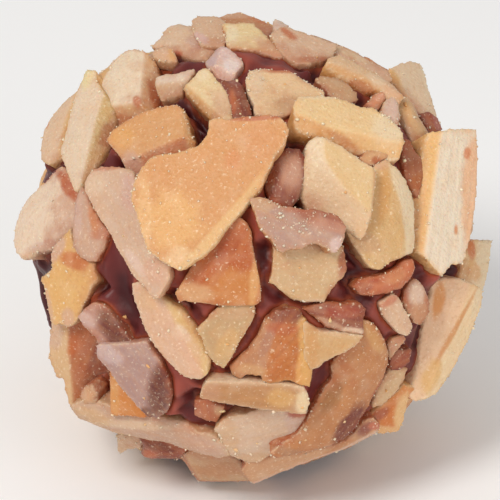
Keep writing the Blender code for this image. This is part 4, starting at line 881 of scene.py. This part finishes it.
def fits_behind(bm, front):
    """Whether a chip stays above the floor and out of the camera's sight."""
    places = [v.co for v in bm.verts] + [(e.verts[0].co + e.verts[1].co) / 2 for e in bm.edges]
    if min(p.z for p in places) < 0.3 - CENTRE[2]:
        return False
    eye = FORWARD * CAMERA_AWAY
    for place, (x, y) in zip(places, as_seen(np.array(places))):
        behind = place @ FORWARD < 0 and math.hypot(x, y) < (17.2 if x < 0 > y else 17.9)
        if not behind and not front.ray_cast(eye, place - eye, (place - eye).length)[0]:
            return False
    return True


def chip_slabs(parts, rng):
    """Chips for the sides, back and underside, each where there is most room left."""
    directions = spread_directions(CHIP_DIRECTIONS)
    directions = directions[(directions @ np.array(FORWARD) < CHIP_LIMIT) & (directions[:, 2] > -0.88)]
    tree = surface_tree(parts)
    room = np.array([tree.find_nearest(d)[3] for d in (directions * NUT_RADIUS).tolist()])
    while room.max() > CHIP_ROOM:
        i = int(room.argmax())
        direction = Vector(directions[i])
        spin = Matrix.Rotation(rng.uniform(0, math.tau), 3, "Z")
        tilt = Matrix.Rotation(rng.uniform(-0.2, 0.2), 3, "X")
        turn = Vector((0, 0, 1)).rotation_difference(direction).to_matrix() @ spin @ tilt
        half_width = min(room[i] + 0.4, CHIP_REACH)
        outline = list(uneven_outline(rng, half_width * rng.uniform(1.1, 1.7), half_width))
        middle = direction * (NUT_RADIUS + rng.uniform(-0.3, 0.6))
        thickness = rng.uniform(1.2, 1.9)
        for scale, sunk in ((1, 0), (0.85, 0), (0.7, 0), (0.85, 0.04), (0.55, 0), (0.55, 0.04), (0.35, 0.04)):
            bm = plain_slab([turn @ (p * scale) + middle * (1 - sunk) for p in outline], thickness)
            if fits_behind(bm, tree):
                break
            bm.free()
        else:
            room[i] = 0
            continue
        own = BVHTree.FromBMesh(bm)
        taken = np.array([own.find_nearest(d)[3] for d in (directions * NUT_RADIUS).tolist()])
        inside = np.array([own.ray_cast((0, 0, 0), d)[3] is not None for d in directions.tolist()])
        room = np.minimum(room, np.where(inside, 0, taken))
        yield bm


def bits(rng, places, sizes, tints, cuts):
    """Small uneven lumps at places."""
    shape, quads = ball_grid(cuts)
    count = len(places)
    turns = rng.normal(size=(count, 3, 3))
    stretch = rng.uniform(0.45, 1.5, (count, 1, 3))
    lumps = shape[None] * rng.uniform(0.6, 1.3, (count, len(shape), 1)) * stretch
    lumps = lumps @ np.linalg.qr(turns)[0]
    co = (lumps * sizes[:, None, None] + places[:, None]).reshape(-1, 3)
    all_quads = (quads[None] + (np.arange(count) * len(shape))[:, None, None]).reshape(-1, 4)
    tint = np.repeat(tints, len(shape), 0)
    return dict(co=co, quads=all_quads, normals=vertex_normals(co, all_quads), tint=tint,
                film=np.zeros(len(co)), grain=co)


def dust(parts):
    """Fine almond dust, thickest along broken rims."""
    rng = np.random.default_rng(SEED)
    co, normals, tint = (np.concatenate([p[k] for p in parts]) for k in ("co", "normals", "tint"))
    weight = np.concatenate([p["dust"] * (0.2 + 1.8 * np.exp(-(p["rim"] / 0.25) ** 2)) for p in parts])
    outwards = co / np.linalg.norm(co, axis=1, keepdims=True)
    for x, y, reach in DUSTY:
        away = ((as_seen(co) - (x, y)) ** 2).sum(1) / reach ** 2
        weight = weight * np.where(co @ np.array(FORWARD) > 0, 1 + 12 * np.exp(-away), 1)
    weight = weight * ((normals * outwards).sum(1) > 0.15) * (np.linalg.norm(co, axis=1) > BALL_RADIUS + 0.2)
    chosen = rng.choice(len(co), DUST_GRAINS, replace=False, p=weight / weight.sum())
    sizes = 0.03 + 0.12 * rng.random(DUST_GRAINS) ** 4
    tints = tint[chosen] * 0.3 + linear((252, 236, 208)) * 0.7
    return bits(rng, co[chosen] + normals[chosen] * 0.03, sizes, tints, 0)


def crumbs(tree):
    """Crumbs of almond that stuck to the ball wherever they fell."""
    rng = np.random.default_rng(SEED + 1)
    directions = rng.normal(size=(CRUMBS, 3))
    directions /= np.linalg.norm(directions, axis=1, keepdims=True)
    places = []
    for direction in directions.tolist():
        start = Vector(direction) * 30
        hit = tree.ray_cast(start, -start)[0]
        if hit and hit.z > 0.6 - CENTRE[2]:
            places.append(hit)
    places = np.array(places)
    count = len(places)
    tones = np.array([linear(c) for c in (IVORY, BUTTER, SAND, TOAST)])
    return bits(rng, places, 0.09 + 0.2 * rng.random(count) ** 3, tones[rng.integers(0, 4, count)], 1)


def chocolate(nuts):
    """The chocolate between the almonds: it carries the raised ones and climbs their walls."""
    directions, quads = ball_grid(115)
    edges = quad_edges(quads)
    tree = surface_tree(nuts)
    lowest, top, near = (np.zeros(len(directions)) for _ in range(3))
    for i, direction in enumerate(directions.tolist()):
        outside = Vector(direction) * 30
        hit = tree.ray_cast((0, 0, 0), direction)[3]
        if hit:
            lowest[i] = hit
            top[i] = 30 - tree.ray_cast(outside, -outside)[3]
        else:
            near[i] = tree.find_nearest(outside * ((BALL_RADIUS + 0.4) / 30))[3]
    covered = lowest > 0
    near = relax(near, edges, 1)[:, 0]
    around = np.where(covered, top, 99)
    for _ in range(5):
        lower = around[edges].min(1)
        for side in (0, 1):
            np.minimum.at(around, edges[:, side], lower)

    level = BALL_RADIUS + 0.65 - 0.9 * smooth_step(0.2, 1.9, near)
    level += 0.22 * noise(directions * 5, 3) + 0.13 * noise(directions * 12, 4)
    seen = as_seen(directions * BALL_RADIUS)
    front = directions @ np.array(FORWARD) > 0
    for x, y, reach, lift in RELIEF:
        level += lift * front * np.exp(-((seen - (x, y)) ** 2).sum(1) / reach ** 2)
    floor = np.where(covered, np.maximum(lowest + 0.35, np.minimum(level, BALL_RADIUS)), level)
    floor = np.where(covered, np.minimum(floor, top - 0.35), floor)
    spread = floor.copy()
    for _ in range(3):
        spread = np.maximum(relax(spread, edges, 2)[:, 0], floor - 0.02)
    climb = np.maximum(0.5 + 0.6 * noise(directions * 9, 5), 0.05)
    raised = np.minimum(spread + climb * np.exp(-near / 0.3), around - 0.12)
    radius = relax(np.where(covered, floor, raised), edges, 3)[:, 0]
    radius = np.where(covered, np.minimum(radius, top - 0.2), radius)
    co = directions * radius[:, None]
    co = co + directions * (0.03 * noise(co * 1.6, 5) + 0.012 * noise(co * 4.5, 6))[:, None]
    co[:, 2] = np.maximum(co[:, 2], -CENTRE[2])

    height = radius - BALL_RADIUS + 0.15 * noise(co * 1.3, 9)
    tint = np.tile(linear(COCOA), (len(co), 1))
    # painted shade: the chocolate darkens where it lies low between the almonds
    tint = tinted(tint, COCOA_PAINTED_SHADE, smooth_step(0.05, -0.5, height))
    # painted highlight: the raised chocolate gets a pale pinkish sheen
    tint = tinted(tint, COCOA_PAINTED_HIGHLIGHT, smooth_step(0.3, 1.0, height) * 0.85)
    thin = smooth_step(0.4, 0.05, near + 0.2 * noise(co * 1.1, 8))
    tint = tinted(tint, RUST, thin * 0.7)
    return dict(co=co, quads=quads, normals=vertex_normals(co, quads), tint=tint, film=thin, grain=co)


def nodes_of(name):
    material = bpy.data.materials.new(name)
    material.use_nodes = True
    tree = material.node_tree
    return material, tree, tree.nodes["Principled BSDF"]


def add_node(tree, kind, **values):
    node = tree.nodes.new(kind)
    for key, value in values.items():
        if hasattr(node, key):
            setattr(node, key, value)
        else:
            node.inputs[key.replace("_", " ")].default_value = value
    return node


def attribute(tree, name):
    return add_node(tree, "ShaderNodeAttribute", attribute_name=name)


def ramp(tree, source, low, high, low_value, high_value):
    node = add_node(tree, "ShaderNodeMapRange")
    for i, value in enumerate((low, high, low_value, high_value), 1):
        node.inputs[i].default_value = value
    tree.links.new(source, node.inputs[0])
    return node.outputs[0]


def mixed(tree, factor, a, b):
    node = add_node(tree, "ShaderNodeMix", data_type="RGBA")
    for value, socket in ((factor, node.inputs[0]), (a, node.inputs[6]), (b, node.inputs[7])):
        if isinstance(value, bpy.types.NodeSocket):
            tree.links.new(value, socket)
        else:
            socket.default_value = value
    return node.outputs[2]


def textured(tree, kind, coordinates, **values):
    node = add_node(tree, kind, **values)
    tree.links.new(coordinates, node.inputs["Vector"])
    return node.outputs[0]


def almond_material():
    material, tree, shader = nodes_of("roasted_almond")
    tint, film, grain = (attribute(tree, n) for n in ("tint", "film", "grain"))
    place = add_node(tree, "ShaderNodeTexCoord").outputs["Object"]
    stretched = add_node(tree, "ShaderNodeMapping")
    stretched.inputs["Scale"].default_value = (0.35, 2.2, 2.2)
    tree.links.new(grain.outputs["Vector"], stretched.inputs["Vector"])
    streak = textured(tree, "ShaderNodeTexNoise", stretched.outputs[0], Scale=1.0, Detail=4.0)
    fine = textured(tree, "ShaderNodeTexNoise", place, Scale=4200.0, Detail=3.0)
    cloud = textured(tree, "ShaderNodeTexNoise", place, Scale=900.0, Detail=4.0)
    colour = mixed(tree, ramp(tree, streak, 0.35, 0.7, 0.0, 0.18), tint.outputs["Color"],
                   (*linear((214, 150, 88)), 1))
    colour = mixed(tree, ramp(tree, cloud, 0.45, 0.75, 0.0, 0.1), colour, (*linear((246, 224, 196)), 1))
    colour = mixed(tree, ramp(tree, fine, 0.44, 0.3, 0.0, 0.22), colour, (*linear((176, 116, 70)), 1))
    colour = mixed(tree, ramp(tree, fine, 0.6, 0.74, 0.0, 0.4), colour, (*linear((252, 236, 205)), 1))
    tree.links.new(colour, shader.inputs["Base Color"])
    shine = ramp(tree, fine, 0.3, 0.7, 0.56, 0.4)
    tree.links.new(shine, shader.inputs["Roughness"])
    bump = add_node(tree, "ShaderNodeBump")
    bump.inputs["Strength"].default_value = 0.8
    bump.inputs["Distance"].default_value = 0.0001
    tree.links.new(fine, bump.inputs["Height"])
    tree.links.new(bump.outputs[0], shader.inputs["Normal"])
    shader.inputs["Subsurface Weight"].default_value = 0.2
    shader.inputs["Subsurface Radius"].default_value = (1.0, 0.5, 0.25)
    shader.inputs["Subsurface Scale"].default_value = 0.0006
    shader.inputs["Specular IOR Level"].default_value = 0.4
    return material


def chocolate_material():
    material, tree, shader = nodes_of("milk_chocolate")
    tint = attribute(tree, "tint")
    place = add_node(tree, "ShaderNodeTexCoord").outputs["Object"]
    cloud = textured(tree, "ShaderNodeTexNoise", place, Scale=420.0, Detail=5.0)
    fine = textured(tree, "ShaderNodeTexNoise", place, Scale=3600.0, Detail=2.0)
    colour = mixed(tree, ramp(tree, cloud, 0.35, 0.7, 0.0, 0.3), tint.outputs["Color"],
                   (*linear((84, 32, 30)), 1))
    shader.inputs["Specular IOR Level"].default_value = 0.22
    tree.links.new(colour, shader.inputs["Base Color"])
    tree.links.new(ramp(tree, cloud, 0.3, 0.7, 0.34, 0.5), shader.inputs["Roughness"])
    bump = add_node(tree, "ShaderNodeBump")
    bump.inputs["Strength"].default_value = 0.25
    bump.inputs["Distance"].default_value = 0.00006
    tree.links.new(fine, bump.inputs["Height"])
    tree.links.new(bump.outputs[0], shader.inputs["Normal"])
    shader.inputs["Subsurface Weight"].default_value = 0.15
    shader.inputs["Subsurface Radius"].default_value = (1.0, 0.35, 0.2)
    shader.inputs["Subsurface Scale"].default_value = 0.0006
    return material


def area_light(name, place, aim, size, power, colour):
    data = bpy.data.lights.new(name, "AREA")
    data.shape = "DISK"
    data.size = size
    data.energy = power
    data.color = colour
    obj = bpy.data.objects.new(name, data)
    obj.location = place
    obj.rotation_euler = (Vector(place) - Vector(aim)).to_track_quat("Z", "Y").to_euler()
    bpy.context.scene.collection.objects.link(obj)


def stage_and_camera():
    scene = bpy.context.scene
    middle = Vector(CENTRE) * MM
    camera = bpy.data.objects.new("camera", bpy.data.cameras.new("camera"))
    away = CAMERA_AWAY * MM
    camera.data.sensor_width = 36
    camera.data.lens = 36 * away / (500 / 12 * MM)
    camera.data.clip_start = 0.01
    camera.location = middle + FORWARD * away
    camera.rotation_euler = FORWARD.to_track_quat("Z", "Y").to_euler()
    scene.collection.objects.link(camera)
    scene.camera = camera

    mesh = bpy.data.meshes.new("floor")
    half = 3.0
    mesh.from_pydata([(-half, -half, 0), (half, -half, 0), (half, half, 0), (-half, half, 0)], [], [(0, 1, 2, 3)])
    floor = bpy.data.objects.new("floor", mesh)
    scene.collection.objects.link(floor)
    material, _, shader = nodes_of("floor")
    shader.inputs["Base Color"].default_value = (0.96, 0.96, 0.96, 1)
    shader.inputs["Roughness"].default_value = 0.9
    shader.inputs["Specular IOR Level"].default_value = 0.1
    mesh.materials.append(material)

    world = bpy.data.worlds.new("studio")
    scene.world = world
    world.use_nodes = True
    background = world.node_tree.nodes["Background"]
    background.inputs[0].default_value = (1.0, 0.99, 0.98, 1)
    background.inputs[1].default_value = 0.56
    area_light("key", (-0.20, -0.30, 0.40), middle, 0.20, 1.5, (1.0, 0.98, 0.95))
    area_light("fill", (0.30, -0.36, 0.16), middle, 0.30, 0.5, (1.0, 0.98, 0.96))
    scene.view_settings.view_transform = "Standard"


def main():
    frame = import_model()
    rng = random.Random(SEED)
    names = [n for n in sorted(frame["nodes"]) if n != "chocolate"]
    nuts = []
    for seed, name in enumerate(names):
        look = LOOKS.get(name.removeprefix("almond_"))
        bm = cad_slab(frame["nodes"][name])
        if look:
            nuts.append(almond(reshaped(bm, look["outline"]), look, seed * 10))
        else:
            nuts.append(almond(bm, random_look(rng), seed * 10, CHIP_VOXEL))
    small = [almond(seen_slab(look["outline"], thickness, lift, facing), look, 1000 + 10 * i)
             for i, (look, thickness, lift, facing) in enumerate(SMALL)]
    chips = [almond(bm, random_look(rng), 2000 + 10 * i, CHIP_VOXEL)
             for i, bm in enumerate(chip_slabs(nuts + small, rng))]
    everything = nuts + small + chips
    ball = chocolate(everything)
    stain(everything, ball)

    roasted = almond_material()
    for name, part in zip(names, nuts):
        add_piece(name.replace("almond_", "roasted_"), part, roasted, [name])
    half = len(chips) // 2
    add_piece("front_chips", joined(small), roasted)
    add_piece("back_chips_a", joined(chips[:half]), roasted)
    add_piece("back_chips_b", joined(chips[half:]), roasted)
    add_piece("chocolate_fill", ball, chocolate_material(), ["chocolate"])
    add_piece("almond_dust", dust(everything), roasted)
    add_piece("almond_crumbs", crumbs(surface_tree(everything + [ball])), roasted)
    stage_and_camera()


main()
